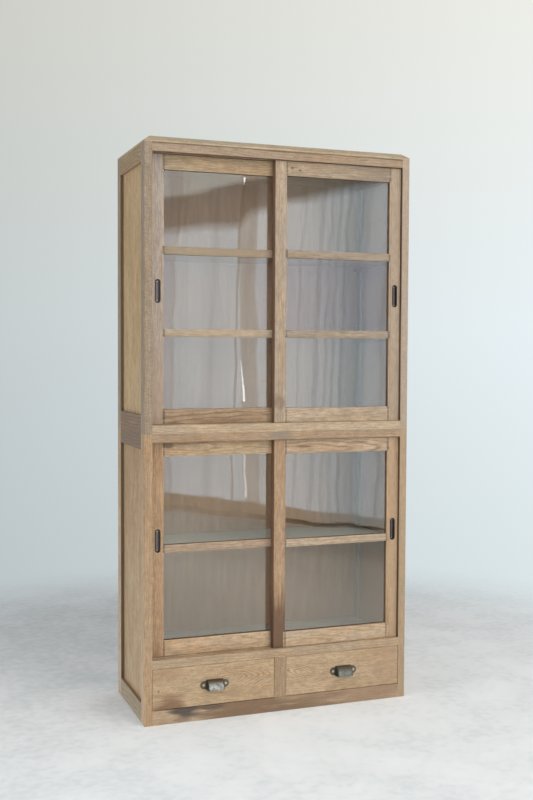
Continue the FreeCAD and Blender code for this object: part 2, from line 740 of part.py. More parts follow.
def cup_hood(wall):
    """A quarter-round hood with rounded cheeks; a wall thickness makes it the hollow inside instead."""
    centre = cup_centre()
    left = centre.x - CUP_WIDTH / 2 + wall
    radius = CUP_REACH - wall
    foot = centre.z - CUP_PLATE_HEIGHT / 2 + CUP_RISE
    brow = foot + CUP_LIP
    if wall:
        foot -= OVERRUN
    diagonal = radius / 2 ** 0.5
    curve = Part.Arc(Vector(left, centre.y, brow + radius),
                     Vector(left, centre.y - diagonal, brow + diagonal),
                     Vector(left, centre.y - radius, brow)).toShape()
    corners = [Vector(left, centre.y - radius, brow), Vector(left, centre.y - radius, foot),
               Vector(left, centre.y, foot), Vector(left, centre.y, brow + radius)]
    outline = Part.Wire([curve, Part.makePolygon(corners)])
    hood = Part.Face(outline).extrude(Vector(CUP_WIDTH - 2 * wall, 0, 0))
    lip_length = brow - foot
    cheeks = []
    for edge in hood.Edges:
        at_lip = abs(edge.CenterOfMass.y - centre.y + radius) < MATCH
        if isinstance(edge.Curve, Part.Circle) or at_lip and abs(edge.Length - lip_length) < MATCH:
            cheeks.append(edge)
    return hood.makeFillet(CUP_CHEEK_RADIUS - wall, cheeks)


def cup_pull():
    """A cast cup pull with its two screws, on the face of the right drawer."""
    cup = cup_plate().fuse(cup_hood(0.0).cut(cup_hood(CUP_WALL)))
    screws = []
    for x, front, z in cup_screw_places():
        cup = cup.cut(rod(SCREW_RADIUS + SCREW_PLAY, CUP_PLATE_THICK, x, front, z))
        shank = rod(SCREW_RADIUS, SCREW_LENGTH, x, front, z)
        head = rod(SCREW_HEAD_RADIUS, SCREW_HEAD_THICK, x, front - SCREW_HEAD_THICK, z)
        screws.append(head.fuse(shank).removeSplitter())
    return [cup.removeSplitter()] + screws


def drawer_runners():
    """Runners, a middle guide and end stops that carry the drawers, and keep them square."""
    level = (BASE_RAIL_HEIGHT - RUNNER_HEIGHT, BASE_RAIL_HEIGHT)
    depth = (BASE_RAIL_THICK, BACK_RAIL_FRONT)
    side = box((JAMB - RUNNER_WIDTH, JAMB), depth, level)
    middle = box(grown((-DIVIDER_HALF, DIVIDER_HALF), RUNNER_WIDTH), depth, level)
    guide = box((-DIVIDER_HALF, DIVIDER_HALF), (DRAWER_DIVIDER_THICK, depth[1]),
                (BASE_RAIL_HEIGHT, BASE_RAIL_HEIGHT + GUIDE_HEIGHT))
    stop_depth = (DRAWER_SETBACK + DRAWER_LENGTH, DRAWER_SETBACK + DRAWER_LENGTH + STOP_LENGTH)
    stop_level = (BASE_RAIL_HEIGHT, BASE_RAIL_HEIGHT + STOP_HEIGHT)
    stop = box((JAMB - RUNNER_WIDTH, JAMB - DRAWER_GAP), stop_depth, stop_level)
    inner_stop = box((DIVIDER_HALF, DIVIDER_HALF + RUNNER_WIDTH), stop_depth, stop_level)
    return both_sides(side) + [middle, guide] + both_sides(stop) + both_sides(inner_stop)


def deck_bearers():
    """Strips under the lower floor, which also keep an open drawer from tipping."""
    level = (LOWER.floor[0] - DECK_BEARER_HEIGHT, LOWER.floor[0])
    depth = (TRACK_DEPTH, BACK_PANEL_FRONT)
    side = box((JAMB - DECK_BEARER_WIDTH, JAMB), depth, level)
    middle = box((-DECK_BEARER_WIDTH / 2, DECK_BEARER_WIDTH / 2), depth, level)
    return both_sides(side) + [middle]


os.makedirs("parts", exist_ok=True)

save("top_board", [top_board()])
for name, case in (("upper", UPPER), ("lower", LOWER)):
    save(name + "_posts", posts(case))
    save(name + "_side_rails", finished_side_rails(case))
    save(name + "_side_panels", both_sides(side_panel(case)))
    save(name + "_head_rail", [head_rail(case)])
    save(name + "_sill", [sill(case)])
save("upper_floor_board", [floor_board(UPPER)])
save("lower_floor_board", [floor_board(LOWER)])
save("lower_top_board", [top_board_of_lower_case()])
save("back_panels", [back_panel(UPPER), back_panel(LOWER)])
save("back_rails", finished_back_rails(UPPER) + finished_back_rails(LOWER))
save("shelves", shelves())
save("shelf_cleats", shelf_cleats())
save("base_rail", [base_rail()])
save("drawer_divider", [drawer_divider()])
save("drawer_runners", drawer_runners())
save("deck_bearers", deck_bearers())

for name, case in (("upper", UPPER), ("lower", LOWER)):
    for hand in ("left", "right"):
        for piece, solids in door(case, hand).items():
            save(name + "_" + hand + "_door_" + piece, solids)

right_drawer = {"front": [drawer_front()], "sides": drawer_sides(), "back": [drawer_back()],
                "bottom": [drawer_bottom()], "pull": cup_pull()}
for piece, solids in right_drawer.items():
    save("right_drawer_" + piece, solids)
    save("left_drawer_" + piece, [across(solid) for solid in solids])
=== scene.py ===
import bpy
import math
from mathutils import Matrix, Vector


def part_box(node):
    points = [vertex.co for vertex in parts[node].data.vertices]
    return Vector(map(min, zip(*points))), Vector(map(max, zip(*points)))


# A mizuya kitchen cabinet of bare, brushed oak: a lower case with two drawers and an upper case that
# lifts off it, each with a pair of glazed doors that slide past each other.
# Metres, +Z up, +X to the right of someone facing the cabinet, the front facing -Y.

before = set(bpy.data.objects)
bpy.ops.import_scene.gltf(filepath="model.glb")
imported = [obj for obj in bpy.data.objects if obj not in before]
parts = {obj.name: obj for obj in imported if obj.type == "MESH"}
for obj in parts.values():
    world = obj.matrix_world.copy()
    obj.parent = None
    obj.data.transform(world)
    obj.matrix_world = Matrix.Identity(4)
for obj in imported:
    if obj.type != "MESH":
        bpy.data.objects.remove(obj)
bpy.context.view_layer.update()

# The camera stands to the left of the cabinet at chest height, turned towards it and tipped down a
# little. Its focal length is given in pixels of a picture 800 pixels high. Angles are in degrees.
CAMERA_PLACE = Vector((-1.24723, -3.39388, 1.16661))
CAMERA_YAW = -20.358
CAMERA_TIP = 87.391
CAMERA_ROLL = 0.265
FOCAL_PIXELS = 1080.06
PICTURE_HEIGHT = 800
SENSOR_MM = 36.0

camera = bpy.data.objects.new("camera", bpy.data.cameras.new("camera"))
bpy.context.scene.collection.objects.link(camera)
bpy.context.scene.camera = camera
camera.data.sensor_width = SENSOR_MM
camera.data.lens = SENSOR_MM * FOCAL_PIXELS / PICTURE_HEIGHT
camera.location = CAMERA_PLACE
camera.rotation_euler = (Matrix.Rotation(math.radians(CAMERA_YAW), 3, "Z")
                         @ Matrix.Rotation(math.radians(CAMERA_TIP), 3, "X")
                         @ Matrix.Rotation(math.radians(CAMERA_ROLL), 3, "Z")).to_euler()
bpy.context.scene.view_settings.view_transform = "Standard"

# The backdrop is a plain pale wall, with painted shade that makes it a little darker to the left and
# low down, and warmer high up. Only what looks at it sees it: on the cabinet the world sheds a dim,
# even light.
WALL_LOW = ("#BBC4C7", "#DCE7EA")
WALL_MIDDLE = ("#C5CDCE", "#E9F2F6")
WALL_HIGH = ("#CDCDC5", "#F0F0E9")
WALL_AXIS = (0.9375, -0.348, 0.0)
WALL_REACH = 0.26
WALL_HEIGHTS = (-0.20, 0.02, 0.32)
EVEN_LIGHT = "#F2F3F5"
EVEN_LEVEL = 0.50


def linear(colour):
    """An sRGB hex colour as linear red, green, blue and alpha, by the standard sRGB curve."""
    shades = [int(colour[start:start + 2], 16) / 255 for start in (1, 3, 5)]
    return [s / 12.92 if s <= 0.04045 else ((s + 0.055) / 1.055) ** 2.4 for s in shades] + [1.0]


def add(tree, kind, inputs=None, **settings):
    """Adds a shader node. An input takes a value, a socket, or a node, which gives its first output."""
    made = tree.nodes.new("ShaderNode" + kind)
    for name, value in settings.items():
        setattr(made, name, value)
    for key, value in (inputs or {}).items():
        if isinstance(value, bpy.types.Node):
            value = value.outputs[0]
        if isinstance(value, bpy.types.NodeSocket):
            tree.links.new(value, made.inputs[key])
        else:
            made.inputs[key].default_value = value
    return made


world = bpy.data.worlds.new("pale_room")
bpy.context.scene.world = world
world.use_nodes = True
tree = world.node_tree
tree.nodes.clear()
looking = add(tree, "TexCoord").outputs["Generated"]
across = add(tree, "VectorMath", {0: looking, 1: WALL_AXIS}, operation="DOT_PRODUCT").outputs["Value"]
across = add(tree, "MapRange", {"Value": across, "From Min": -WALL_REACH, "From Max": WALL_REACH})
rows = [add(tree, "MixRGB", {0: across, 1: linear(left), 2: linear(right)})
        for left, right in (WALL_LOW, WALL_MIDDLE, WALL_HIGH)]
height = add(tree, "SeparateXYZ", {0: looking}).outputs["Z"]
wall = rows[0]
for row, low_end, high_end in zip(rows[1:], WALL_HEIGHTS, WALL_HEIGHTS[1:]):
    risen = add(tree, "MapRange", {"Value": height, "From Min": low_end, "From Max": high_end})
    wall = add(tree, "MixRGB", {0: risen, 1: wall, 2: row})
ray = add(tree, "LightPath")
seen = add(tree, "Math", {0: ray.outputs["Is Camera Ray"], 1: ray.outputs["Is Glossy Ray"]},
           operation="MAXIMUM")
seen = add(tree, "Math", {0: seen, 1: ray.outputs["Is Transmission Ray"]}, operation="MAXIMUM")
even = add(tree, "Background", {"Color": linear(EVEN_LIGHT), "Strength": EVEN_LEVEL})
shown = add(tree, "Background", {"Color": wall})
mixed = add(tree, "MixShader", {0: seen, 1: even, 2: shown})
add(tree, "OutputWorld", {"Surface": mixed})

# The floor is a wide disc of pale trowelled concrete, matt and faintly clouded. It fades out all round
# the cabinet, where the backdrop takes over, and a glow that only the camera sees evens out its shade.
FLOOR_RADIUS = 6.0
FLOOR_SIDES = 96
FLOOR_PALE = "#F3F6F6"
FLOOR_GREY = "#DFE4E4"
FLOOR_CLOUD = 0.22
FLOOR_FLECK = 0.03
FLECK_SHARE = 0.45
CLOUD_RANGE = (0.4, 0.62)
GLOW = 0.16
GLOW_AXIS = (-0.5, 1.0, 0.0)
GLOW_ENDS = (-0.3, 1.25)
FADE_ENDS = (1.3, 2.4)

# Panes and metal mirror the floor brighter than it is, dimmest by the window wall. A little blue
# daylight from the rest of the room lies over all that they mirror. A dimming has an axis, the places
# along it where it starts and ends, and the level at each.
MIRRORED_FLOOR = "#F4EADF"
MIRRORED_LEVEL = 2.25
ROOM_BLUE = (0.0, 0.19, 0.21)
TO_THE_RIGHT = (1.0, 0.0, 0.0)
TO_THE_WINDOW = (1.0, -0.5, 0.0)
FLOOR_DIMMINGS = ((TO_THE_WINDOW, 1.2, 1.75, 0.82, 1.0), (TO_THE_WINDOW, 1.4, 2.0, 1.22, 0.97),
                  (TO_THE_WINDOW, 2.3, 2.75, 1.0, 0.62), (TO_THE_RIGHT, 0.50, 0.95, 1.0, 0.85))


def new_material(name):
    """An empty material and its node tree."""
    made = bpy.data.materials.new(name)
    made.use_nodes = True
    made.node_tree.nodes.clear()
    return made, made.node_tree


def mirrored_floor(tree, place):
    """The floor as panes and metal mirror it."""
    level = MIRRORED_LEVEL
    for axis, start, end, first, last in FLOOR_DIMMINGS:
        along = add(tree, "VectorMath", {0: place, 1: axis}, operation="DOT_PRODUCT").outputs["Value"]
        dimmed = add(tree, "MapRange", {"Value": along, "From Min": start, "From Max": end,
                                        "To Min": first, "To Max": last})
        level = add(tree, "Math", {0: level, 1: dimmed}, operation="MULTIPLY")
    lit = add(tree, "VectorMath", {0: linear(MIRRORED_FLOOR)[:3], "Scale": level}, operation="SCALE")
    return add(tree, "VectorMath", {0: lit, 1: ROOM_BLUE}, operation="ADD")


def mesh_object(name, vertices, faces, material):
    """A mesh of its own, linked to the scene."""
    mesh = bpy.data.meshes.new(name)
    mesh.from_pydata(vertices, [], faces)
    made = bpy.data.objects.new(name, mesh)
    bpy.context.scene.collection.objects.link(made)
    mesh.materials.append(material)
    return made


concrete, tree = new_material("trowelled_concrete")
place = add(tree, "TexCoord").outputs["Object"]
cloud = add(tree, "TexNoise", {"Vector": place, "Scale": 1 / FLOOR_CLOUD, "Detail": 4.0})
fleck = add(tree, "TexNoise", {"Vector": place, "Scale": 1 / FLOOR_FLECK, "Detail": 3.0})
mottle = add(tree, "MixRGB", {0: FLECK_SHARE, 1: cloud, 2: fleck})
mottle = add(tree, "MapRange", {"Value": mottle, "From Min": CLOUD_RANGE[0], "From Max": CLOUD_RANGE[1]})
shade = add(tree, "MixRGB", {0: mottle, 1: linear(FLOOR_PALE), 2: linear(FLOOR_GREY)})
surface = add(tree, "BsdfDiffuse", {"Color": shade})
ray = add(tree, "LightPath")
glow = add(tree, "VectorMath", {0: place, 1: GLOW_AXIS}, operation="DOT_PRODUCT").outputs["Value"]
glow = add(tree, "MapRange", {"Value": glow, "From Min": GLOW_ENDS[0], "From Max": GLOW_ENDS[1],
                              "To Min": GLOW, "To Max": 0.0})
glow = add(tree, "Math", {0: ray.outputs["Is Camera Ray"], 1: glow}, operation="MULTIPLY")
surface = add(tree, "AddShader", {0: surface, 1: add(tree, "Emission", {"Strength": glow})})
bright = add(tree, "Emission", {"Color": mirrored_floor(tree, place)})
surface = add(tree, "MixShader", {0: ray.outputs["Is Glossy Ray"], 1: surface, 2: bright})
away = add(tree, "VectorMath", {0: place}, operation="LENGTH").outputs["Value"]
away = add(tree, "MapRange", {"Value": away, "From Min": FADE_ENDS[0], "From Max": FADE_ENDS[1]},
           interpolation_type="SMOOTHSTEP")
away = add(tree, "Math", {0: away, 1: ray.outputs["Is Camera Ray"]}, operation="MULTIPLY")
gone = add(tree, "BsdfTransparent")
surface = add(tree, "MixShader", {0: away, 1: surface, 2: gone})
add(tree, "OutputMaterial", {"Surface": surface})

rim = [Vector((math.cos(turn), math.sin(turn), 0.0)) * FLOOR_RADIUS
       for turn in (math.tau * side / FLOOR_SIDES for side in range(FLOOR_SIDES))]
floor = mesh_object("floor", rim, [range(FLOOR_SIDES)], concrete)

# Large soft lamps stand in for the daylight of the room: the main one high in front and to the right,
# a second in front, and a weak one from the left. Each has a name, a place, a point that it faces, a
# size in metres, a power in watts and a colour.
LAMPS = (
    ("high_lamp", (1.0, -2.4, 3.2), (0.0, -0.1, 0.9), 2.0, 30.0, "#FFFAF4"),
    ("front_lamp", (0.9, -3.9, 1.3), (0.0, 0.0, 0.9), 2.0, 32.0, "#FBFCFF"),
    ("left_lamp", (-3.2, -1.4, 2.0), (0.0, 0.0, 0.9), 1.8, 28.0, "#F6F9FF"),
)

for name, place, target, size, power, colour in LAMPS:
    data = bpy.data.lights.new(name, "AREA")
    data.size = size
    data.energy = power
    data.color = linear(colour)[:3]
    lamp = bpy.data.objects.new(name, data)
    bpy.context.scene.collection.objects.link(lamp)
    lamp.location = place
    lamp.rotation_euler = (Vector(target) - Vector(place)).to_track_quat("-Z", "Y").to_euler()
    lamp.visible_glossy = False

# What the panes and the metal mirror is a window wall in front of the cabinet, hung with a thin pale
# curtain in folds, under a brown lintel. It is part of the room, and lights nothing by itself. Its
# edges run aslant, as a wall does that recedes from the cabinet.
WINDOW_Y = -3.2
WINDOW_X = (-3.0, 5.0)
WINDOW_Z = (0.001, 3.6)
WHITE = (1.0, 1.0, 1.0, 1.0)
CURTAIN_TOP = 1.765
CURTAIN_TOP_SLOPE = 0.26
LINTEL_HEIGHT = 0.185
CURTAIN_HEM = 0.365
CURTAIN_HEM_SLOPE = -0.148
SKIRTING_HEIGHT = 0.085
SOFT_EDGE = 0.035
HEM_SOFT_EDGE = SOFT_EDGE / 4
CURTAIN_CLOTH = "#F7F8FC"
CURTAIN_LEVEL = 4.3
SHADED_CLOTH = "#EFF8FF"
SHADED_SHARE = 0.82
SHADED_ENDS = (1.3, 1.62)
HIGH_SHARE = (0.82, 0.81, 0.875, 1.0)
HIGH_FROM = (1.22, 1.32)
HIGH_TO = (1.72, 1.80)
HIGH_SIDE = (0.95, 1.15)
LOW_SHARE = 0.88
LOW_ENDS = (0.50, 0.85)
LINTEL_WOOD = ("#E1C4B1", "#9BA091")
LINTEL_ENDS = (0.9, 1.9)
LINTEL_LEVEL = 1.6
LINTEL_SAG = 0.07
SAG_ENDS = (0.45, 0.93, 1.0)
CEILING_GREY = "#FFF9EF"
CEILING_LEVEL = 3.1
SKIRTING_WOOD = ("#FCE6CA", "#EDF3EF")
SKIRTING_LEVEL = 1.75
DARK_JOINT = "#5A5650"
DARK_JOINT_HEIGHT = 0.016
DARK_JOINT_ENDS = (0.95, 1.2)
DARK_JOINT_LEAST = 0.2
BLUE_ENDS = (1.6, 1.75)
BLUE_LEAST = 0.35
FOLD_WIDTH = 0.13
FOLD_RANGE = (0.3, 0.6)
FOLD_LEAST = 0.88
FOLD_SOFT = 0.025
FOLD_SLANT = -0.03
FOLD_BEND = 0.06
BEND_FROM = 1.75

# A fold's shadow has a middle, a half width and the share of each colour that it leaves. A gap between
# the curtains has the place of its top and its foot, a width and a level of light.
FOLD_SHADOWS = (
    (0.420, 0.042, (0.86, 0.81, 0.83)), (0.462, 0.012, (0.84, 0.78, 0.73)),
    (0.510, 0.012, (0.93, 0.93, 0.93)), (0.705, 0.020, (0.90, 0.90, 0.91)),
    (0.866, 0.010, (0.70, 0.62, 0.56)), (1.262, 0.014, (0.80, 0.81, 0.82)),
    (1.383, 0.022, (0.76, 0.77, 0.79)), (1.447, 0.013, (0.80, 0.81, 0.82)),
    (1.505, 0.018, (0.77, 0.78, 0.79)), (1.565, 0.015, (0.73, 0.74, 0.76)),
    (1.650, 0.090, (0.88, 0.89, 0.90)), (1.665, 0.014, (0.86, 0.87, 0.88)),
    (1.850, 0.020, (0.84, 0.85, 0.86)))
WIDE_SHADOW = (1.022, 0.066, (0.76, 0.67, 0.59))
WIDE_SHADOW_LEAN = 0.055
GAP_LIGHTS = (((0.945, 2.19), (0.948, 2.24), 0.014, 10.0), ((0.926, 1.10), (0.950, 0.86), 0.016, 10.0),
              ((0.953, 0.54), (0.955, 0.245), 0.022, 5.4))
GAP_TOP_SHARE = 1 / 3
GAP_DEPTH = 0.014

curtain, tree = new_material("curtained_window")
whole_place = add(tree, "TexCoord").outputs["Object"]
place = add(tree, "SeparateXYZ", {0: whole_place}).outputs
top_edge = add(tree, "Math", {0: place["X"], 1: -CURTAIN_TOP_SLOPE, 2: place["Z"]},
               operation="MULTIPLY_ADD")
sag = add(tree, "MapRange", {"Value": place["X"], "From Min": SAG_ENDS[0], "From Max": SAG_ENDS[1],
                             "To Max": LINTEL_SAG})
sagging = add(tree, "MapRange", {"Value": place["X"], "From Min": SAG_ENDS[1], "From Max": SAG_ENDS[2],
                                 "To Min": 1.0, "To Max": 0.0})
sag = add(tree, "Math", {0: sag, 1: sagging, 2: top_edge}, operation="MULTIPLY_ADD")
over_top = add(tree, "MapRange", {"Value": sag, "From Min": CURTAIN_TOP - SOFT_EDGE,
                                  "From Max": CURTAIN_TOP + SOFT_EDGE})
over_lintel = add(tree, "MapRange", {"Value": top_edge, "From Min": CURTAIN_TOP + LINTEL_HEIGHT,
                                     "From Max": CURTAIN_TOP + LINTEL_HEIGHT + SOFT_EDGE})
hem_edge = add(tree, "Math", {0: place["X"], 1: -CURTAIN_HEM_SLOPE, 2: place["Z"]},
               operation="MULTIPLY_ADD")
under_hem = add(tree, "MapRange", {"Value": hem_edge, "From Min": CURTAIN_HEM + HEM_SOFT_EDGE,
                                   "From Max": CURTAIN_HEM - HEM_SOFT_EDGE})
under_skirting = add(tree, "MapRange", {"Value": hem_edge, "From Min": CURTAIN_HEM - SKIRTING_HEIGHT,
                                        "From Max": CURTAIN_HEM - SKIRTING_HEIGHT - SOFT_EDGE})
slanted = add(tree, "Math", {0: place["Z"], 1: FOLD_SLANT, 2: place["X"]}, operation="MULTIPLY_ADD")
bent = add(tree, "MapRange", {"Value": place["Z"], "From Min": BEND_FROM, "From Max": WINDOW_Z[1],
                              "To Max": FOLD_BEND * (WINDOW_Z[1] - BEND_FROM)})
slanted = add(tree, "Math", {0: slanted, 1: bent}, operation="SUBTRACT")
folds = add(tree, "TexNoise", {"W": slanted, "Scale": 1 / FOLD_WIDTH, "Detail": 2.0},
            noise_dimensions="1D")
level = add(tree, "MapRange", {"Value": folds, "From Min": FOLD_RANGE[0], "From Max": FOLD_RANGE[1],
                               "To Min": FOLD_LEAST})
low = add(tree, "MapRange", {"Value": place["Z"], "From Min": LOW_ENDS[0], "From Max": LOW_ENDS[1],
                             "To Min": LOW_SHARE})
level = add(tree, "Math", {0: level, 1: low}, operation="MULTIPLY")
high = add(tree, "MapRange", {"Value": place["Z"], "From Min": HIGH_FROM[0], "From Max": HIGH_FROM[1]})
over = add(tree, "MapRange", {"Value": place["Z"], "From Min": HIGH_TO[1], "From Max": HIGH_TO[0]})
beside = add(tree, "MapRange", {"Value": place["X"], "From Min": HIGH_SIDE[0], "From Max": HIGH_SIDE[1]})
high = add(tree, "Math", {0: high, 1: over}, operation="MULTIPLY")
high = add(tree, "Math", {0: high, 1: beside}, operation="MULTIPLY")
folded = add(tree, "MixRGB", {0: high, 1: WHITE, 2: HIGH_SHARE})
leaning = [(0.0, shadow) for shadow in FOLD_SHADOWS] + [(WIDE_SHADOW_LEAN, WIDE_SHADOW)]
for lean, (middle, reach, shares) in leaning:
    off = add(tree, "Math", {0: place["Z"], 1: lean, 2: slanted}, operation="MULTIPLY_ADD")
    off = add(tree, "Math", {0: off, 1: middle}, operation="SUBTRACT")
    off = add(tree, "Math", {0: off}, operation="ABSOLUTE")
    kept = add(tree, "MapRange", {"Value": off, "From Min": reach - min(reach / 2, FOLD_SOFT),
                                  "From Max": reach}, interpolation_type="SMOOTHSTEP")
    kept = add(tree, "MixRGB", {0: kept, 1: (*shares, 1.0), 2: WHITE})
    folded = add(tree, "VectorMath", {0: folded, 1: kept}, operation="MULTIPLY")


def bright(colour, times):
    """A colour as a strength of light."""
    return [shade * times for shade in linear(colour)]


shaded = add(tree, "MapRange", {"Value": place["X"], "From Min": SHADED_ENDS[0],
                                "From Max": SHADED_ENDS[1]})
cloth = add(tree, "MixRGB", {0: shaded, 1: bright(CURTAIN_CLOTH, CURTAIN_LEVEL),
                             2: bright(SHADED_CLOTH, CURTAIN_LEVEL * SHADED_SHARE)})
cloth = add(tree, "VectorMath", {0: cloth, "Scale": level}, operation="SCALE")
along = add(tree, "MapRange", {"Value": place["X"], "From Min": LINTEL_ENDS[0],
                               "From Max": LINTEL_ENDS[1]})
lintel = add(tree, "MixRGB", {0: along, 1: bright(LINTEL_WOOD[0], LINTEL_LEVEL),
                              2: bright(LINTEL_WOOD[1], LINTEL_LEVEL)})
lintel = add(tree, "MixRGB", {0: over_lintel, 1: lintel, 2: bright(CEILING_GREY, CEILING_LEVEL)})
skirting = add(tree, "MixRGB", {0: shaded, 1: bright(SKIRTING_WOOD[0], SKIRTING_LEVEL),
                                2: bright(SKIRTING_WOOD[1], SKIRTING_LEVEL)})
below = add(tree, "MixRGB", {0: under_skirting, 1: skirting, 2: mirrored_floor(tree, whole_place)})
joint = add(tree, "Math", {0: hem_edge, 1: CURTAIN_HEM - SKIRTING_HEIGHT, 2: DARK_JOINT_HEIGHT},
            operation="COMPARE")
strength = add(tree, "MapRange", {"Value": place["X"], "From Min": DARK_JOINT_ENDS[0],
                                  "From Max": DARK_JOINT_ENDS[1], "To Min": DARK_JOINT_LEAST})
joint = add(tree, "Math", {0: joint, 1: strength}, operation="MULTIPLY")
below = add(tree, "MixRGB", {0: joint, 1: below, 2: linear(DARK_JOINT)})
seen = add(tree, "MixRGB", {0: over_top, 1: cloth, 2: lintel})
seen = add(tree, "VectorMath", {0: seen, 1: folded}, operation="MULTIPLY")
blue = add(tree, "MapRange", {"Value": place["X"], "From Min": BLUE_ENDS[0], "From Max": BLUE_ENDS[1],
                              "To Min": 1.0, "To Max": BLUE_LEAST})
blue = add(tree, "VectorMath", {0: ROOM_BLUE, "Scale": blue}, operation="SCALE")
seen = add(tree, "VectorMath", {0: seen, 1: blue}, operation="ADD")
seen = add(tree, "MixRGB", {0: under_hem, 1: seen, 2: below})
add(tree, "OutputMaterial", {"Surface": add(tree, "Emission", {"Color": seen})})

left, right = WINDOW_X
foot, head = WINDOW_Z
corners = [(left, WINDOW_Y, foot), (right, WINDOW_Y, foot),
           (right, WINDOW_Y, head), (left, WINDOW_Y, head)]
in_mirrors = [mesh_object("window_wall", corners, [(0, 1, 2, 3)], curtain)]
for number, ((top_x, top_z), (foot_x, foot_z), width, level) in enumerate(GAP_LIGHTS):
    daylight, tree = new_material(f"daylight_between_curtains_{number}")
    add(tree, "OutputMaterial", {"Surface": add(tree, "Emission", {"Strength": level})})
    y = WINDOW_Y + GAP_DEPTH
    slit = [(top_x, y, top_z), (foot_x, y, foot_z), (foot_x + width, y, foot_z),
            (top_x + width * GAP_TOP_SHARE, y, top_z)]
    in_mirrors.append(mesh_object(f"gap_light_{number}", slit, [(0, 1, 2, 3)], daylight))
for mirrored in in_mirrors:
    mirrored.visible_camera = False
    mirrored.visible_diffuse = False
    mirrored.visible_shadow = False

# The top is one oak board, bevelled along the front and both ends, laid over the upper case. Oak was
# planed, brushed so that the soft early wood of each ring lies lower, and left bare: the eye sees a
# dry, matt surface with dark pored ring lines on paler wood, and grey where age has taken it.
# Painted shade for the narrow sides of head rails and door frames, and for the beads by the panes.
SIDE_SHADE_BROWN = "#6C4A32"
INSIDE_BROWN = "#96735A"
PALE_SHARE = (1.07, 1.05, 1.025, 1.0)
WARM_SHARE = (0.925, 0.86, 0.775, 1.0)
GRAIN_SHARE = (0.56, 0.47, 0.37, 1.0)
GREY_SHARE = (0.84, 0.92, 1.03, 1.0)
STAIN_GLAZE = (2.1, 2.5, 3.2, 1.0)
STAIN_BODY = 0.6
OAK = {"ring": 8.0, "line": 0.5, "contrast": 0.65, "mottle": 0.18, "fleck": 0.0, "greyed": 0.4,
       "roughness": 0.62}
RING_RISE_FROM = 0.82
RING_ROUGHNESS = (-0.06, 0.08)
WEAKEST_RING = 0.3
LINE_LEAST = 0.5
BUMP_DEPTH = 0.0006
BUMP_STRENGTH = 0.6
BOARD_SHIFT = 3.7
CABINET_MIDDLE = (0.0, 0.0, 0.9)

# Patterns in millimetres are so wide across the grain and so long along it. Streaks and pores are
# drawn three times as coarse as real ones, so that they show from afar.
RING_WARP_MM = (50.0, 170.0)
RING_WARP_REACH = 0.028
TONE_PATCH_MM = (24.0, 190.0)
STREAK_MM = (3.2, 34.0)
BLOTCH_MM = (13.0, 22.0)
SPECK_MM = (3.4, 5.5)
MOTTLES = ((STREAK_MM, 1.0), (BLOTCH_MM, 0.5), (SPECK_MM, 0.5))
FIBRE_MM = (1.6, 26.0)
PORE_MM = (2.4, 11.0)
FLECK_MM = (10.0, 4.5)

# A range gives the values of a noise, a direction or a distance between which a pattern comes or goes.
NOISE_RANGE = (0.3, 0.7)
WARM_RANGE = (0.38, 0.62)
AGE_RANGE = (0.45, 0.62)
PORE_RANGE = (0.58, 0.72)
PORE_STRENGTH = 0.5
FLECK_RANGE = (0.40, 0.60)
EDGE_RANGE = (0.6, 0.3)
EDGE_STRENGTH = 0.9
INWARD_RANGE = (0.0, -0.05)
INWARD_STRENGTH = 0.95
SPOT_RANGE = (1.3, 2.0)
SPOT_RAGGED = 2.0
FIGURE_LEAST = 0.3


def share_of(tone, share):
    """A paler, deeper or greyer shade of a board's tone."""
    return [level * part for level, part in zip(linear(tone), share)]


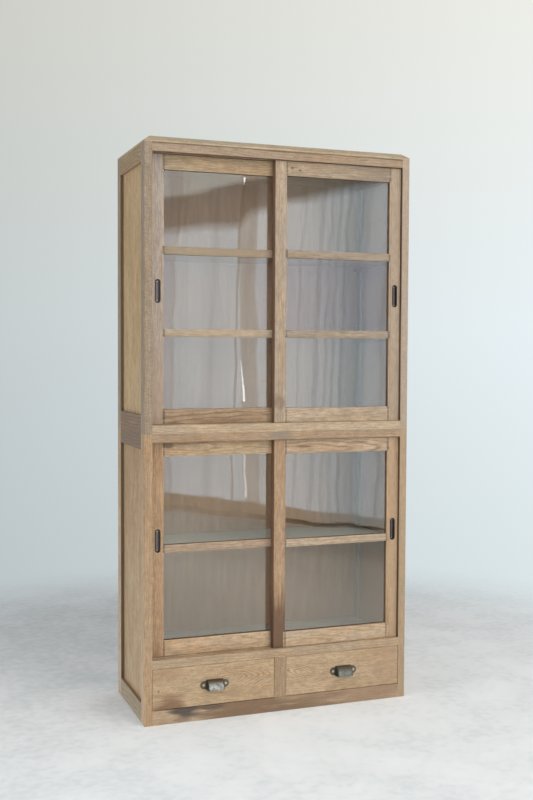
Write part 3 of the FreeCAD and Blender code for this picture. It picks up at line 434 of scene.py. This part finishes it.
def wood(name, look, tone, along, face, heart, run=(0.0, 0.02, 0.01), splits=(), stains=(), edges=None,
         inside=None, figure=None):
    """A board's material, drawn in the solid: its rings run round a heart that leans in the board.

    look gives the width of a ring in millimetres, the share of it that is dark, and how strong the
    lines, the mottle, the flecks and the grey of age are. along and face are the axes of the grain and
    of the broad face. heart is a point on the heart line, and run is how far that line climbs over the
    face, how deep it goes, and how much the tree tapers, each per metre of grain. splits are places
    that part the separate boards of one piece. stains are (place, reach, colour, strength): real stains,
    and also painted shade. edges is the colour of painted shade on narrow sides, those not turned along
    the face axis, and inside that of sides that look into the cabinet. figure is the place and reach of
    bold ring lines.
    """
    made, tree = new_material(name)
    axes = ["XYZ".replace(along, "").replace(face, ""), face, along]
    coordinates = add(tree, "TexCoord").outputs
    place = coordinates["Object"]
    by_axis = add(tree, "SeparateXYZ", {0: place}).outputs
    board = add(tree, "CombineXYZ", {number: by_axis[axis] for number, axis in enumerate(axes)})
    moved = board
    for number, (axis, where) in enumerate(splits):
        past = add(tree, "Math", {0: by_axis[axis], 1: where}, operation="GREATER_THAN")
        shift = (0.0, BOARD_SHIFT * (number + 1), BOARD_SHIFT)
        moved = add(tree, "VectorMath", {0: past, 1: shift, 2: moved}, operation="MULTIPLY_ADD")

    def noise(grain_mm, detail):
        """A noise whose features are so wide across the grain and so long along it."""
        wide, long = 1000 / grain_mm[0], 1000 / grain_mm[1]
        scaled = add(tree, "VectorMath", {0: moved, 1: (wide, wide, long)}, operation="MULTIPLY")
        return add(tree, "TexNoise", {"Vector": scaled, "Scale": 1.0, "Detail": detail})

    def distance(spot, reach):
        """How far off a spot is, in shares of a reach along each axis, with a ragged edge."""
        gap = add(tree, "VectorMath", {0: place, 1: spot}, operation="SUBTRACT")
        gap = add(tree, "VectorMath", {0: gap, 1: reach}, operation="DIVIDE")
        gap = add(tree, "VectorMath", {0: gap}, operation="LENGTH").outputs["Value"]
        return add(tree, "Math", {0: patch["Blue"], 1: SPOT_RAGGED, 2: gap}, operation="MULTIPLY_ADD")

    # Where a point lies from the heart, with the rings drawn out of round by the warp.
    warp = add(tree, "VectorMath", {0: noise(RING_WARP_MM, 2.0).outputs["Color"], 1: (0.5, 0.5, 0.5)},
               operation="SUBTRACT")
    middle = [heart["XYZ".index(axis)] for axis in axes]
    off = add(tree, "VectorMath", {0: board, 1: middle}, operation="SUBTRACT")
    off = add(tree, "VectorMath", {0: warp, 1: (RING_WARP_REACH,) * 3, 2: off}, operation="MULTIPLY_ADD")
    off = add(tree, "SeparateXYZ", {0: off}).outputs
    climb, lean, taper = run
    over = add(tree, "Math", {0: off["Z"], 1: -climb, 2: off["X"]}, operation="MULTIPLY_ADD")
    deep = add(tree, "Math", {0: off["Z"], 1: lean, 2: off["Y"]}, operation="MULTIPLY_ADD")
    radius = add(tree, "VectorMath", {0: add(tree, "CombineXYZ", {0: over, 1: deep})},
                 operation="LENGTH").outputs["Value"]
    far = add(tree, "Math", {0: off["Z"]}, operation="ABSOLUTE")
    radius = add(tree, "Math", {0: far, 1: taper, 2: radius}, operation="MULTIPLY_ADD")
    turn = add(tree, "Math", {0: radius, 1: 1000 / look["ring"]}, operation="MULTIPLY")

    # Each ring is dark and open where spring growth starts, and pales over its width.
    year = add(tree, "Math", {0: turn}, operation="FLOOR")
    part = add(tree, "Math", {0: turn}, operation="FRACT")
    fade = add(tree, "MapRange", {"Value": part, "From Max": look["line"], "To Min": 1.0, "To Max": 0.0},
               interpolation_type="SMOOTHSTEP")
    rise = add(tree, "MapRange", {"Value": part, "From Min": RING_RISE_FROM})
    ring = add(tree, "Math", {0: fade, 1: rise}, operation="MAXIMUM")
    strong = add(tree, "TexWhiteNoise", {"W": year}, noise_dimensions="1D")
    strong = add(tree, "MapRange", {"Value": strong, "To Min": WEAKEST_RING})
    ring = add(tree, "Math", {0: ring, 1: strong}, operation="MULTIPLY")
    fibre = add(tree, "MapRange", {"Value": noise(FIBRE_MM, 3.0), "From Min": NOISE_RANGE[0],
                                   "From Max": NOISE_RANGE[1]})

    # The tone wanders between pale and warm, crossed by the ring lines and then greyed by age.
    patch = add(tree, "SeparateColor", {0: noise(TONE_PATCH_MM, 3.0).outputs["Color"]}).outputs
    warm = add(tree, "MapRange", {"Value": patch["Red"], "From Min": WARM_RANGE[0],
                                  "From Max": WARM_RANGE[1]})
    colour = add(tree, "MixRGB", {0: warm, 1: share_of(tone, PALE_SHARE), 2: share_of(tone, WARM_SHARE)})
    line = add(tree, "MapRange", {"Value": fibre, "To Min": LINE_LEAST * look["contrast"],
                                  "To Max": look["contrast"]})
    line = add(tree, "Math", {0: line, 1: ring}, operation="MULTIPLY")
    if figure:
        bold = add(tree, "MapRange", {"Value": distance(*figure), "From Min": SPOT_RANGE[0],
                                      "From Max": SPOT_RANGE[1], "To Min": 1.0, "To Max": FIGURE_LEAST})
        line = add(tree, "Math", {0: line, 1: bold}, operation="MULTIPLY")
    colour = add(tree, "MixRGB", {0: line, 1: colour, 2: share_of(tone, GRAIN_SHARE)})
    age = add(tree, "MapRange", {"Value": patch["Green"], "From Min": AGE_RANGE[0],
                                 "From Max": AGE_RANGE[1], "To Max": look["greyed"]})
    colour = add(tree, "MixRGB", {0: age, 1: colour, 2: share_of(tone, GREY_SHARE)})
    pore = add(tree, "MapRange", {"Value": noise(PORE_MM, 1.0), "From Min": PORE_RANGE[0],
                                  "From Max": PORE_RANGE[1], "To Max": PORE_STRENGTH})
    colour = add(tree, "MixRGB", {0: pore, 1: colour, 2: share_of(tone, GRAIN_SHARE)})

    # Streaks, blotches, specks and the flecks of a quarter-sawn face make it lighter and darker.
    levels = [(noise(grain_mm, 2.0), NOISE_RANGE, look["mottle"] * part) for grain_mm, part in MOTTLES]
    if look["fleck"]:
        levels.append((noise(FLECK_MM, 1.0), FLECK_RANGE, look["fleck"]))
    for pattern, ends, depth in levels:
        level = add(tree, "MapRange", {"Value": pattern, "From Min": ends[0], "From Max": ends[1],
                                       "To Min": 1.0 - depth, "To Max": 1.0 + depth})
        colour = add(tree, "VectorMath", {0: colour, "Scale": level}, operation="SCALE")

    # Painted shade on the narrow sides, the colour of sides that look into the cabinet, and stains,
    # some of them painted shade, lie over all that.
    if edges:
        faced = add(tree, "SeparateXYZ", {0: coordinates["Normal"]}).outputs[face]
        faced = add(tree, "Math", {0: faced}, operation="ABSOLUTE")
        aside = add(tree, "MapRange", {"Value": faced, "From Min": EDGE_RANGE[0],
                                       "From Max": EDGE_RANGE[1], "To Max": EDGE_STRENGTH})
        colour = add(tree, "MixRGB", {0: aside, 1: colour, 2: linear(edges)})
    if inside:
        from_middle = add(tree, "VectorMath", {0: place, 1: CABINET_MIDDLE}, operation="SUBTRACT")
        outward = add(tree, "VectorMath", {0: coordinates["Normal"], 1: from_middle},
                      operation="DOT_PRODUCT").outputs["Value"]
        inward = add(tree, "MapRange", {"Value": outward, "From Min": INWARD_RANGE[0],
                                        "From Max": INWARD_RANGE[1], "To Max": INWARD_STRENGTH})
        colour = add(tree, "MixRGB", {0: inward, 1: colour, 2: linear(inside)})
    for spot, reach, shade, strength in stains:
        mask = add(tree, "MapRange", {"Value": distance(spot, reach), "From Min": SPOT_RANGE[1],
                                      "From Max": SPOT_RANGE[0], "To Max": strength},
                   interpolation_type="SMOOTHSTEP")
        stained = add(tree, "MixRGB", {0: 1.0, 1: colour, 2: share_of(shade, STAIN_GLAZE)},
                      blend_type="MULTIPLY")
        stained = add(tree, "MixRGB", {0: STAIN_BODY, 1: stained, 2: linear(shade)})
        colour = add(tree, "MixRGB", {0: mask, 1: colour, 2: stained})

    relief = add(tree, "Math", {0: ring, 1: fibre}, operation="SUBTRACT")
    relief = add(tree, "Bump", {"Height": relief, "Distance": BUMP_DEPTH, "Strength": BUMP_STRENGTH},
                 invert=True)
    dry = add(tree, "MapRange", {"Value": ring, "To Min": look["roughness"] + RING_ROUGHNESS[0],
                                 "To Max": look["roughness"] + RING_ROUGHNESS[1]})
    surface = add(tree, "BsdfPrincipled", {"Base Color": colour, "Roughness": dry, "Normal": relief})
    add(tree, "OutputMaterial", {"Surface": surface})
    return made


def dress(material, *names):
    """Gives the CAD pieces of these names a material."""
    for name in names:
        parts[name].material_slots[0].material = material


low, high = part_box("top_board")
dress(wood("oak_top_board", OAK, "#B8A78C", "X", "Z", (0.1, low.y - 0.02, low.z - 0.03),
           inside=INSIDE_BROWN), "top_board")

# Four oak posts stand at the corners of each case, with the rails and panels let into them. They are
# quarter-sawn, with pale flecks. Their faces that look into the cabinet, beside the doors too, are
# painted dark as shade, as is the front of the rear left post by the side panel, and the rear ones are
# browner.
POST = dict(OAK, contrast=0.45, mottle=0.17, greyed=0.5, ring=7.0)
POST_WIDTH = 0.025
REAR_POST_FACE = 0.152
REAR_POST_MIDDLE = 0.164
# Painted shade on the front of the rear left post, beside the side panel.
REAR_POST_SHADE = "#7D6850"
REAR_POST_TONE = "#A08F80"
REAR_POST_BROWN = "#8F8074"
# Dark joint lines at the ends of rails, and painted shade on posts' faces that look into the cabinet.
GRIME_AND_SHADE = "#4F3B29"

# For each case: the tone of its posts, that of the right front one, and how strong the flecks are.
POST_TONES = {"upper": ("#9A8873", "#BEAB96", 0.12), "lower": ("#B39472", "#AE9B80", 0.03)}

# A reach of ALL goes past the ends of any board.
ALL = 9.0
for case, (tone, right_tone, fleck) in POST_TONES.items():
    low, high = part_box(case + "_posts")
    middle = (low.z + high.z) / 2
    rear_right = (high.x - POST_WIDTH, REAR_POST_MIDDLE, middle)
    # The stain on the front of the rear left post is painted shade, as is the colour of inner faces.
    stains = [((high.x, low.y, middle), (0.3, 0.006, 3.0), right_tone, 0.8),
              ((low.x, REAR_POST_FACE, middle), (0.03, 0.005, ALL), REAR_POST_SHADE, 1.0),
              (rear_right, (POST_WIDTH, 2 * POST_WIDTH, ALL), REAR_POST_TONE, 1.0),
              ((0.0, high.y, middle), (ALL, 0.015, ALL), REAR_POST_BROWN, 0.9)]
    dress(wood("oak_" + case + "_posts", dict(POST, fleck=fleck), tone, "Z", "Y", (0.9, 0.3, 1.0),
               (0.0, 0.01, 0.0), (("X", 0.0), ("Y", 0.0)), stains, inside=GRIME_AND_SHADE), case + "_posts")

# The side frames hold their rails between the posts, and a thin panel in grooves, of browner oak.
# Painted shade darkens the left panel in its corners with the frame.
SIDE_PANEL = dict(OAK, contrast=0.6, mottle=0.18, ring=11.0, greyed=0.3)
MIDDLE_RAIL = "#745A46"
CORNER_SHADE = ("#8A7355", "#6B553F")

# For each case: the tones of its rails and panels, and the end where its rails are darker, beside the
# other case.
SIDE_TONES = {"upper": ("#9D8666", "#BFA37B", "low"), "lower": ("#7E6B4E", "#A98C68", "high")}
for case, (tone, panel_tone, dark_end) in SIDE_TONES.items():
    low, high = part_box(case + "_side_rails")
    middle = (low.z + high.z) / 2
    near = low.z if dark_end == "low" else high.z
    dress(wood("oak_" + case + "_side_rails", OAK, tone, "Y", "X", (0.0, 0.0, middle), (0.0, 0.01, 0.0),
               (("X", 0.0), ("Z", middle)), [((low.x, 0.0, near), (1.0, 1.0, 0.12), MIDDLE_RAIL, 0.9)],
               inside=INSIDE_BROWN), case + "_side_rails")
    low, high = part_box(case + "_side_panels")
    middle = (low.z + high.z) / 2
    # Painted shade along the left panel's front and rear edges, in its corners with the posts.
    stains = [((low.x, low.y + 0.012, middle), (0.1, 0.016, ALL), CORNER_SHADE[0], 0.6),
              ((low.x, high.y - 0.004, middle), (0.1, 0.010, ALL), CORNER_SHADE[1], 0.7)]
    dress(wood("oak_" + case + "_side_panels", SIDE_PANEL, panel_tone, "Z", "X", (0.3, 0.03, middle),
               (0.0, 0.03, 0.01), (("X", 0.0),), stains, inside=INSIDE_BROWN), case + "_side_panels")

# The rails across the front are oak, tenoned into the posts. The head rails and sills carry the doors
# in grooves, and the head rails' narrow sides, the undersides too, carry painted shade. The base rail
# stands on the floor, brown along the middle where damp has reached it.
SPOT_DEPTH = 0.1
JOINT_LINE = (0.0045, ALL, ALL)

# A spot on a front has a place across and up, a reach across and up, a colour and a strength. A rail
# has a tone, how far its heart lies over its foot, and its spots.
BASE_SPOTS = ((-0.11, 0.03, 0.29, 0.16, "#7B634B", 1.0), (0.10, 0.03, 0.16, 0.10, "#80694F", 0.8),
              (0.30, 0.023, 0.26, 0.2, "#94795F", 0.7), (-0.318, 0.028, 0.066, 0.050, "#453A33", 1.0),
              (-0.235, 0.040, 0.05, 0.02, "#5A4A3E", 0.8))
HEAD_SPOTS = ((0.005, 0.90, 0.06, 0.03, "#8C8478", 0.7),)
# A dark joint line along the top of the upper head rail, deepened with painted shade under the top
# board.
TOP_JOINT_SHADE = ((0.0, 1.800, ALL, 0.006, "#6B553D", 0.9),)
FRONT_RAILS = (("upper_head_rail", "#A58E75", 0.07, TOP_JOINT_SHADE),
               ("lower_head_rail", "#A78C6F", -0.06, HEAD_SPOTS),
               ("upper_sill", "#BCA588", 0.10, ()), ("lower_sill", "#B69D7F", 0.08, ()),
               ("base_rail", "#B99F82", -0.05, BASE_SPOTS))


def on_front(spots, face):
    """Stains on a front that lies at this depth."""
    return [((x, face, z), (across, SPOT_DEPTH, up), shade, strength)
            for x, z, across, up, shade, strength in spots]


def joints(left, right, strength):
    """The dark lines where the ends of a rail meet its uprights."""
    return [((end, 0.0, 0.0), JOINT_LINE, GRIME_AND_SHADE, strength) for end in (left, right)]


for name, tone, heart_up, spots in FRONT_RAILS:
    low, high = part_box(name)
    stains = on_front(spots, low.y) + joints(low.x, high.x, 0.5)
    dress(wood("oak_" + name, OAK, tone, "X", "Y", (0.15, low.y + 0.03, low.z + heart_up),
               (0.0, 0.015, 0.03), (), stains, SIDE_SHADE_BROWN if "head" in name else None), name)
low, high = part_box("drawer_divider")
dress(wood("oak_drawer_divider", OAK, "#A88D6E", "Z", "Y", (0.06, low.y, 0.1)), "drawer_divider")

# The boards inside, the back and the drawers' boxes are plain planed softwood, gone brown with smoke
# and age, and grey on the outside of the back. The lower case's shelf and floor are pale with dust and
# wear.
INNER = dict(OAK, ring=10.0, contrast=0.4, mottle=0.08, greyed=0.3, roughness=0.6)
INNER_TONE = "#8E6A51"
BACK = dict(INNER, ring=26.0, contrast=0.25)
REAR_GREY = "#8F7C6C"
DUSTY_SHELF = "#C4C4BD"
LOWER_SHELF_TOP = 0.53485
BOARD_TONES = {"upper_floor_board": "#8A694E", "lower_floor_board": "#A89D93",
               "lower_top_board": INNER_TONE, "shelves": INNER_TONE}
for name, tone in BOARD_TONES.items():
    low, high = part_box(name)
    dust = [((0.0, 0.0, LOWER_SHELF_TOP), (ALL, ALL, 0.012), DUSTY_SHELF, 1.0)]
    dress(wood("softwood_" + name, INNER, tone, "X", "Z", (0.2, 0.02, low.z - 0.04),
               stains=dust if name == "shelves" else ()), name)
for name, look, along in (("back_panels", BACK, "Z"), ("back_rails", INNER, "X")):
    low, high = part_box(name)
    weathered = [((0.0, high.y, 0.0), (ALL, (high.y - low.y) / 3, ALL), REAR_GREY, 1.0)]
    dress(wood("softwood_" + name, look, INNER_TONE, along, "Y", (0.1, 0.3, 0.9),
               stains=weathered), name)
dress(wood("softwood_strips", INNER, INNER_TONE, "Y", "X", (0.1, 0.3, 0.9)), "shelf_cleats",
      "drawer_runners", "deck_bearers")

# Each door is a mortised frame of oak: two stiles, a top rail, a foot rail and bars, moulded round
# the panes. Beads hold the glass in its rebate from behind. The frame's narrow sides and the beads
# are painted in the brown of shade, and so is the left doors' meeting stile behind the right doors.
STILE_WIDTH = 0.040
SHADED_BROWN = "#A67B5E"
SHADED_STILE = (0.010, 0.12)
WAVY = dict(OAK, contrast=1.25, line=0.4, ring=11.0, greyed=0.1)

# For each door: the tones of its stiles, top rail, foot rail and bars; where the heart of its rails
# lies across and over their foot, how deep it goes and how much it tapers; the rail, if any, whose
# rings draw bold waves; and the spots on its front.
DOORS = {
    "upper_left_door": {
        "tones": ("#B6A596", "#B39A79", "#A99074", "#BCAA93"),
        "grain": (0.25, 0.012, 0.02, 0.03),
        "wavy": "foot_rail",
        "stile_spots": [(-0.40, 0.99, 0.1, 0.26, "#B59C82", 0.8)],
        "rail_spots": [(-0.2, 0.945, 0.12, 0.012, "#8A6A48", 0.6),
                       (-0.2, 1.477, ALL, 0.05, "#95846C", 0.8)]},
    "upper_right_door": {
        "tones": ("#B09C85", "#A7937A", "#B8A38A", "#A3927E"),
        "grain": (0.50, 0.010, 0.02, 0.05),
        "wavy": "",
        "stile_spots": [(0.0, 1.0, 0.03, 0.03, "#7E6650", 0.7),
                        (0.405, 1.30, 0.05, 0.9, "#AE9B85", 0.6)],
        "rail_spots": [(0.037, 1.750, 0.010, 0.007, "#6B5038", 0.9),
                       (0.064, 1.744, 0.010, 0.006, "#6B5038", 0.9),
                       (0.34, 1.75, 0.13, 0.08, "#8F8070", 0.8)]},
    "lower_left_door": {
        "tones": ("#BC9A76", "#CAAC86", "#CFB28F", "#B39C84"),
        "grain": (-0.30, 0.030, 0.02, 0.03),
        "wavy": "",
        "stile_spots": [],
        "rail_spots": [(-0.362, 0.866, 0.022, 0.016, "#6E5743", 0.8),
                       (-0.30, 0.876, 0.10, 0.008, "#7B6149", 0.6)]},
    "lower_right_door": {
        "tones": ("#AF9070", "#B9A084", "#C5AC8D", "#BCA68C"),
        "grain": (0.10, 0.012, 0.03, 0.06),
        "wavy": "top_rail",
        "stile_spots": [(0.0, 0.16, 0.12, 0.36, "#654A33", 1.0),
                        (0.405, 0.54, 0.05, 0.7, "#C1A888", 0.8)],
        "rail_spots": [(0.085, 0.858, 0.035, 0.006, "#7A5F44", 0.8),
                       (0.28, 0.868, 0.06, 0.005, "#7A5F44", 0.8),
                       (0.395, 0.842, 0.012, 0.008, "#4E3C2B", 0.7)]},
}
for door, made_of in DOORS.items():
    stile_tone, top_tone, foot_tone, bar_tone = made_of["tones"]
    heart_x, heart_up, lean, taper = made_of["grain"]
    low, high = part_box(door + "_stiles")
    middle = (low.x + high.x) / 2
    stile_stains = on_front(made_of["stile_spots"], low.y)
    # The left doors' meeting stile, behind the right doors, is painted brown as shade.
    if "left" in door:
        x, reach = SHADED_STILE
        stile_stains.append(((x, low.y, (low.z + high.z) / 2), (reach, ALL, ALL), SHADED_BROWN, 1.0))
    rail_stains = on_front(made_of["rail_spots"], low.y)
    rail_stains += joints(low.x + STILE_WIDTH, high.x - STILE_WIDTH, 0.6)
    dress(wood("oak_" + door + "_stiles", OAK, stile_tone, "Z", "Y", (middle + 0.6, low.y + 0.1, 1.0),
               (0.0, 0.02, 0.0), (("X", middle),), stile_stains, SIDE_SHADE_BROWN), door + "_stiles")
    for rail, tone in (("top_rail", top_tone), ("foot_rail", foot_tone)):
        low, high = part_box(door + "_" + rail)
        look = WAVY if rail == made_of["wavy"] else OAK
        dress(wood("oak_" + door + "_" + rail, look, tone, "X", "Y",
                   (heart_x, low.y - 0.01, low.z + heart_up), (0.0, lean, taper), (),
                   rail_stains, SIDE_SHADE_BROWN), door + "_" + rail)
    low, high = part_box(door + "_bars")
    dress(wood("oak_" + door + "_bars", OAK, bar_tone, "X", "Y", (middle, low.y + 0.02, low.z - 0.1),
               (0.0, 0.02, 0.02), (("Z", (low.z + high.z) / 2),),
               rail_stains, SIDE_SHADE_BROWN), door + "_bars")
    # The beads are painted all over in the brown of shade.
    dress(wood("oak_" + door + "_beads", OAK, SIDE_SHADE_BROWN, "Z", "Y", (middle, low.y + 0.3, low.z - 0.1)),
          door + "_beads")

# The panes are old drawn window glass, 3 mm thick and very slightly wavy: they mirror the window wall
# and bend it a little, and lamps shine through them into the cases.
GLASS_TINT = "#F1F6F4"
GLASS_IOR = 1.52
GLASS_ROUGHNESS = 0.01
WAVE_MM = 140.0
WAVE_DEPTH = 0.00025

glass, tree = new_material("drawn_window_glass")
place = add(tree, "TexCoord").outputs["Object"]
wave = add(tree, "TexNoise", {"Vector": place, "Scale": 1000 / WAVE_MM, "Detail": 1.0})
wave = add(tree, "Bump", {"Height": wave, "Distance": WAVE_DEPTH, "Strength": 1.0})
pane = add(tree, "BsdfPrincipled", {"Base Color": linear(GLASS_TINT), "Transmission Weight": 1.0,
                                    "IOR": GLASS_IOR, "Roughness": GLASS_ROUGHNESS, "Normal": wave})
clear = add(tree, "BsdfTransparent", {"Color": linear(GLASS_TINT)})
shadow = add(tree, "LightPath").outputs["Is Shadow Ray"]
add(tree, "OutputMaterial", {"Surface": add(tree, "MixShader", {0: shadow, 1: pane, 2: clear})})
dress(glass, *[door + "_panes" for door in DOORS])

# The finger pulls are oval dishes of black lacquered iron, let into the outer stiles with a nail at
# each end. Fingers have worn the floor of each dish to a lilac grey, which also carries a painted
# highlight, and the nail heads are bright.
IRON_BLACK = "#2B2523"
IRON_WORN_AND_HIGHLIGHT = "#504A4A"
NAIL_BRIGHT = "#958F89"
NAIL_HEAD = 0.0017
NAIL_FROM_END = 0.0072
DISH_HALFWAY = 0.004
DISH_FLOOR_RANGE = (-0.8, -0.95)
IRON_PATCH_MM = 6.0
IRON_WEAR_RANGE = (0.3, 0.5)
IRON_WEAR_LEAST = 0.4
IRON_METALLIC = 0.85
IRON_ROUGHNESS = 0.42


def from_fixing(tree, place, middle, apart):
    """How far a point lies, seen from the front, from the nearer of a pull's two fixings."""
    gap = add(tree, "VectorMath", {0: place, 1: middle}, operation="SUBTRACT")
    gap = add(tree, "VectorMath", {0: gap}, operation="ABSOLUTE")
    gap = add(tree, "VectorMath", {0: gap, 1: apart}, operation="SUBTRACT")
    gap = add(tree, "VectorMath", {0: gap, 1: (1.0, 0.0, 1.0)}, operation="MULTIPLY")
    return add(tree, "VectorMath", {0: gap}, operation="LENGTH").outputs["Value"]


for door in DOORS:
    low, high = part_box(door + "_pull")
    iron, tree = new_material("black_lacquered_iron_" + door)
    coordinates = add(tree, "TexCoord").outputs
    place = coordinates["Object"]
    worn = add(tree, "TexNoise", {"Vector": place, "Scale": 1000 / IRON_PATCH_MM, "Detail": 3.0})
    worn = add(tree, "MapRange", {"Value": worn, "From Min": IRON_WEAR_RANGE[0],
                                  "From Max": IRON_WEAR_RANGE[1], "To Min": IRON_WEAR_LEAST})
    # The floor of each dish, turned to the front, is worn pale and carries a painted highlight.
    facing = add(tree, "SeparateXYZ", {0: coordinates["Normal"]}).outputs["Y"]
    facing = add(tree, "MapRange", {"Value": facing, "From Min": DISH_FLOOR_RANGE[0],
                                    "From Max": DISH_FLOOR_RANGE[1]})
    depth = add(tree, "SeparateXYZ", {0: place}).outputs["Y"]
    sunk = add(tree, "Math", {0: depth, 1: low.y + DISH_HALFWAY}, operation="GREATER_THAN")
    floor_of_dish = add(tree, "Math", {0: facing, 1: sunk}, operation="MULTIPLY")
    worn = add(tree, "Math", {0: worn, 1: floor_of_dish}, operation="MULTIPLY")
    colour = add(tree, "MixRGB", {0: worn, 1: linear(IRON_BLACK), 2: linear(IRON_WORN_AND_HIGHLIGHT)})
    nail = from_fixing(tree, place, (low + high) / 2, (0.0, 0.0, (high.z - low.z) / 2 - NAIL_FROM_END))
    nail = add(tree, "Math", {0: nail, 1: NAIL_HEAD}, operation="LESS_THAN")
    colour = add(tree, "MixRGB", {0: nail, 1: colour, 2: linear(NAIL_BRIGHT)})
    surface = add(tree, "BsdfPrincipled", {"Base Color": colour, "Metallic": IRON_METALLIC,
                                           "Roughness": IRON_ROUGHNESS})
    add(tree, "OutputMaterial", {"Surface": surface})
    dress(iron, door + "_pull")

# Each drawer has an oak front, lapped over softwood sides, with a softwood back and bottom. The fronts
# are flat-sawn, so that their rings draw long pointed figures.
FLAT_SAWN = dict(OAK, contrast=1.2, line=0.45, mottle=0.17, ring=7.0, greyed=0.2)

# The sides, back and bottom, with the axes of their grain and face, and the depth of their heart.
BOX_BOARDS = (("sides", "Y", "X", 0.0), ("back", "X", "Y", 0.2), ("bottom", "X", "Z", 0.0))

# For each drawer: the tone of its front, where its heart lies across and up and how it runs, the spots
# on it, and the place and reach of its bold figure.
DRAWERS = {
    "left_drawer": {
        "tone": "#BEA381",
        "heart": (-0.235, 0.116),
        "run": (0.06, 0.05, 0.30),
        "spots": [(-0.368, 0.064, 0.070, 0.036, "#7E6248", 1.0),
                  (-0.405, 0.106, 0.005, 0.007, "#6B5038", 0.7),
                  (-0.385, 0.168, 0.09, 0.05, "#A58A6C", 0.7)],
        "figure": (-0.080, 0.126, 0.16, 0.055)},
    "right_drawer": {
        "tone": "#BCA282",
        "heart": (0.08, 0.121),
        "run": (-0.15, 0.04, 0.30),
        "spots": [(0.40, 0.11, 0.09, 0.2, "#AF9478", 0.7)],
        "figure": (0.085, 0.121, 0.13, 0.050)},
}
for drawer, made_of in DRAWERS.items():
    low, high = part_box(drawer + "_front")
    heart_x, heart_z = made_of["heart"]
    x, z, across, up = made_of["figure"]
    dress(wood("oak_" + drawer + "_front", FLAT_SAWN, made_of["tone"], "X", "Y",
               (heart_x, low.y, heart_z), made_of["run"], (), on_front(made_of["spots"], low.y),
               figure=((x, low.y, z), (across, SPOT_DEPTH, up))), drawer + "_front")
    for piece, along, face, y in BOX_BOARDS:
        dress(wood("softwood_" + drawer + "_" + piece, INNER, INNER_TONE, along, face,
                   (heart_x, y, 0.0)), drawer + "_" + piece)

# The cup pulls are castings of a grey metal, worn pale on the hood, browned along the brow and round
# the lobes of the plate. Their cheeks, turned to the sides, are painted dark as shade. A bright screw
# holds each lobe.
HOOD_GREY = {"left_drawer": "#8B8A86", "right_drawer": "#66675F"}
CAST_DARK = "#4B4944"
CHEEK_SHADE = "#3A3A34"
BROW_BROWN = "#6F5D4B"
PLATE_BROWN = "#574F45"
RIM_BROWN = "#3B3127"
SCREW_BRIGHT = "#9A9389"
HOOD_REACH = 0.0233
SCREW_HEAD = 0.0035
SCREW_FROM_END = 0.0105
LOBE_RIM = (0.0072, 0.0100)
CAST_PATCH_MM = 8.0
CAST_DARK_RANGE = (0.42, 0.62)
CAST_DARK_MOST = 0.8
BROW_RANGE = (0.70, 0.92)
BROW_STRENGTH = 0.9
CHEEK_RANGE = (0.3, 0.65)
CAST_METALLIC = 0.6
CAST_ROUGHNESS = 0.45

for drawer, grey in HOOD_GREY.items():
    low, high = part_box(drawer + "_pull")
    cast, tree = new_material("worn_grey_casting_" + drawer)
    coordinates = add(tree, "TexCoord").outputs
    place = coordinates["Object"]
    normal = add(tree, "SeparateXYZ", {0: coordinates["Normal"]}).outputs
    dark = add(tree, "TexNoise", {"Vector": place, "Scale": 1000 / CAST_PATCH_MM, "Detail": 4.0})
    dark = add(tree, "MapRange", {"Value": dark, "From Min": CAST_DARK_RANGE[0],
                                  "From Max": CAST_DARK_RANGE[1], "To Max": CAST_DARK_MOST})
    hood = add(tree, "MixRGB", {0: dark, 1: linear(grey), 2: linear(CAST_DARK)})
    brow = add(tree, "MapRange", {"Value": normal["Z"], "From Min": BROW_RANGE[0],
                                  "From Max": BROW_RANGE[1], "To Max": BROW_STRENGTH})
    hood = add(tree, "MixRGB", {0: brow, 1: hood, 2: linear(BROW_BROWN)})
    # The cheeks, turned to the sides, are painted dark as shade.
    cheek = add(tree, "Math", {0: normal["X"]}, operation="ABSOLUTE")
    cheek = add(tree, "MapRange", {"Value": cheek, "From Min": CHEEK_RANGE[0],
                                   "From Max": CHEEK_RANGE[1]})
    hood = add(tree, "MixRGB", {0: cheek, 1: hood, 2: linear(CHEEK_SHADE)})
    off = from_fixing(tree, place, (low + high) / 2, ((high.x - low.x) / 2 - SCREW_FROM_END, 0.0, 0.0))
    rim = add(tree, "MapRange", {"Value": off, "From Min": LOBE_RIM[0], "From Max": LOBE_RIM[1]})
    plate = add(tree, "MixRGB", {0: rim, 1: linear(PLATE_BROWN), 2: linear(RIM_BROWN)})
    depth = add(tree, "SeparateXYZ", {0: place}).outputs["Y"]
    forward = add(tree, "Math", {0: depth, 1: low.y + HOOD_REACH}, operation="LESS_THAN")
    colour = add(tree, "MixRGB", {0: forward, 1: plate, 2: hood})
    screw = add(tree, "Math", {0: off, 1: SCREW_HEAD}, operation="LESS_THAN")
    colour = add(tree, "MixRGB", {0: screw, 1: colour, 2: linear(SCREW_BRIGHT)})
    surface = add(tree, "BsdfPrincipled", {"Base Color": colour, "Metallic": CAST_METALLIC,
                                           "Roughness": CAST_ROUGHNESS})
    add(tree, "OutputMaterial", {"Surface": surface})
    dress(cast, drawer + "_pull")
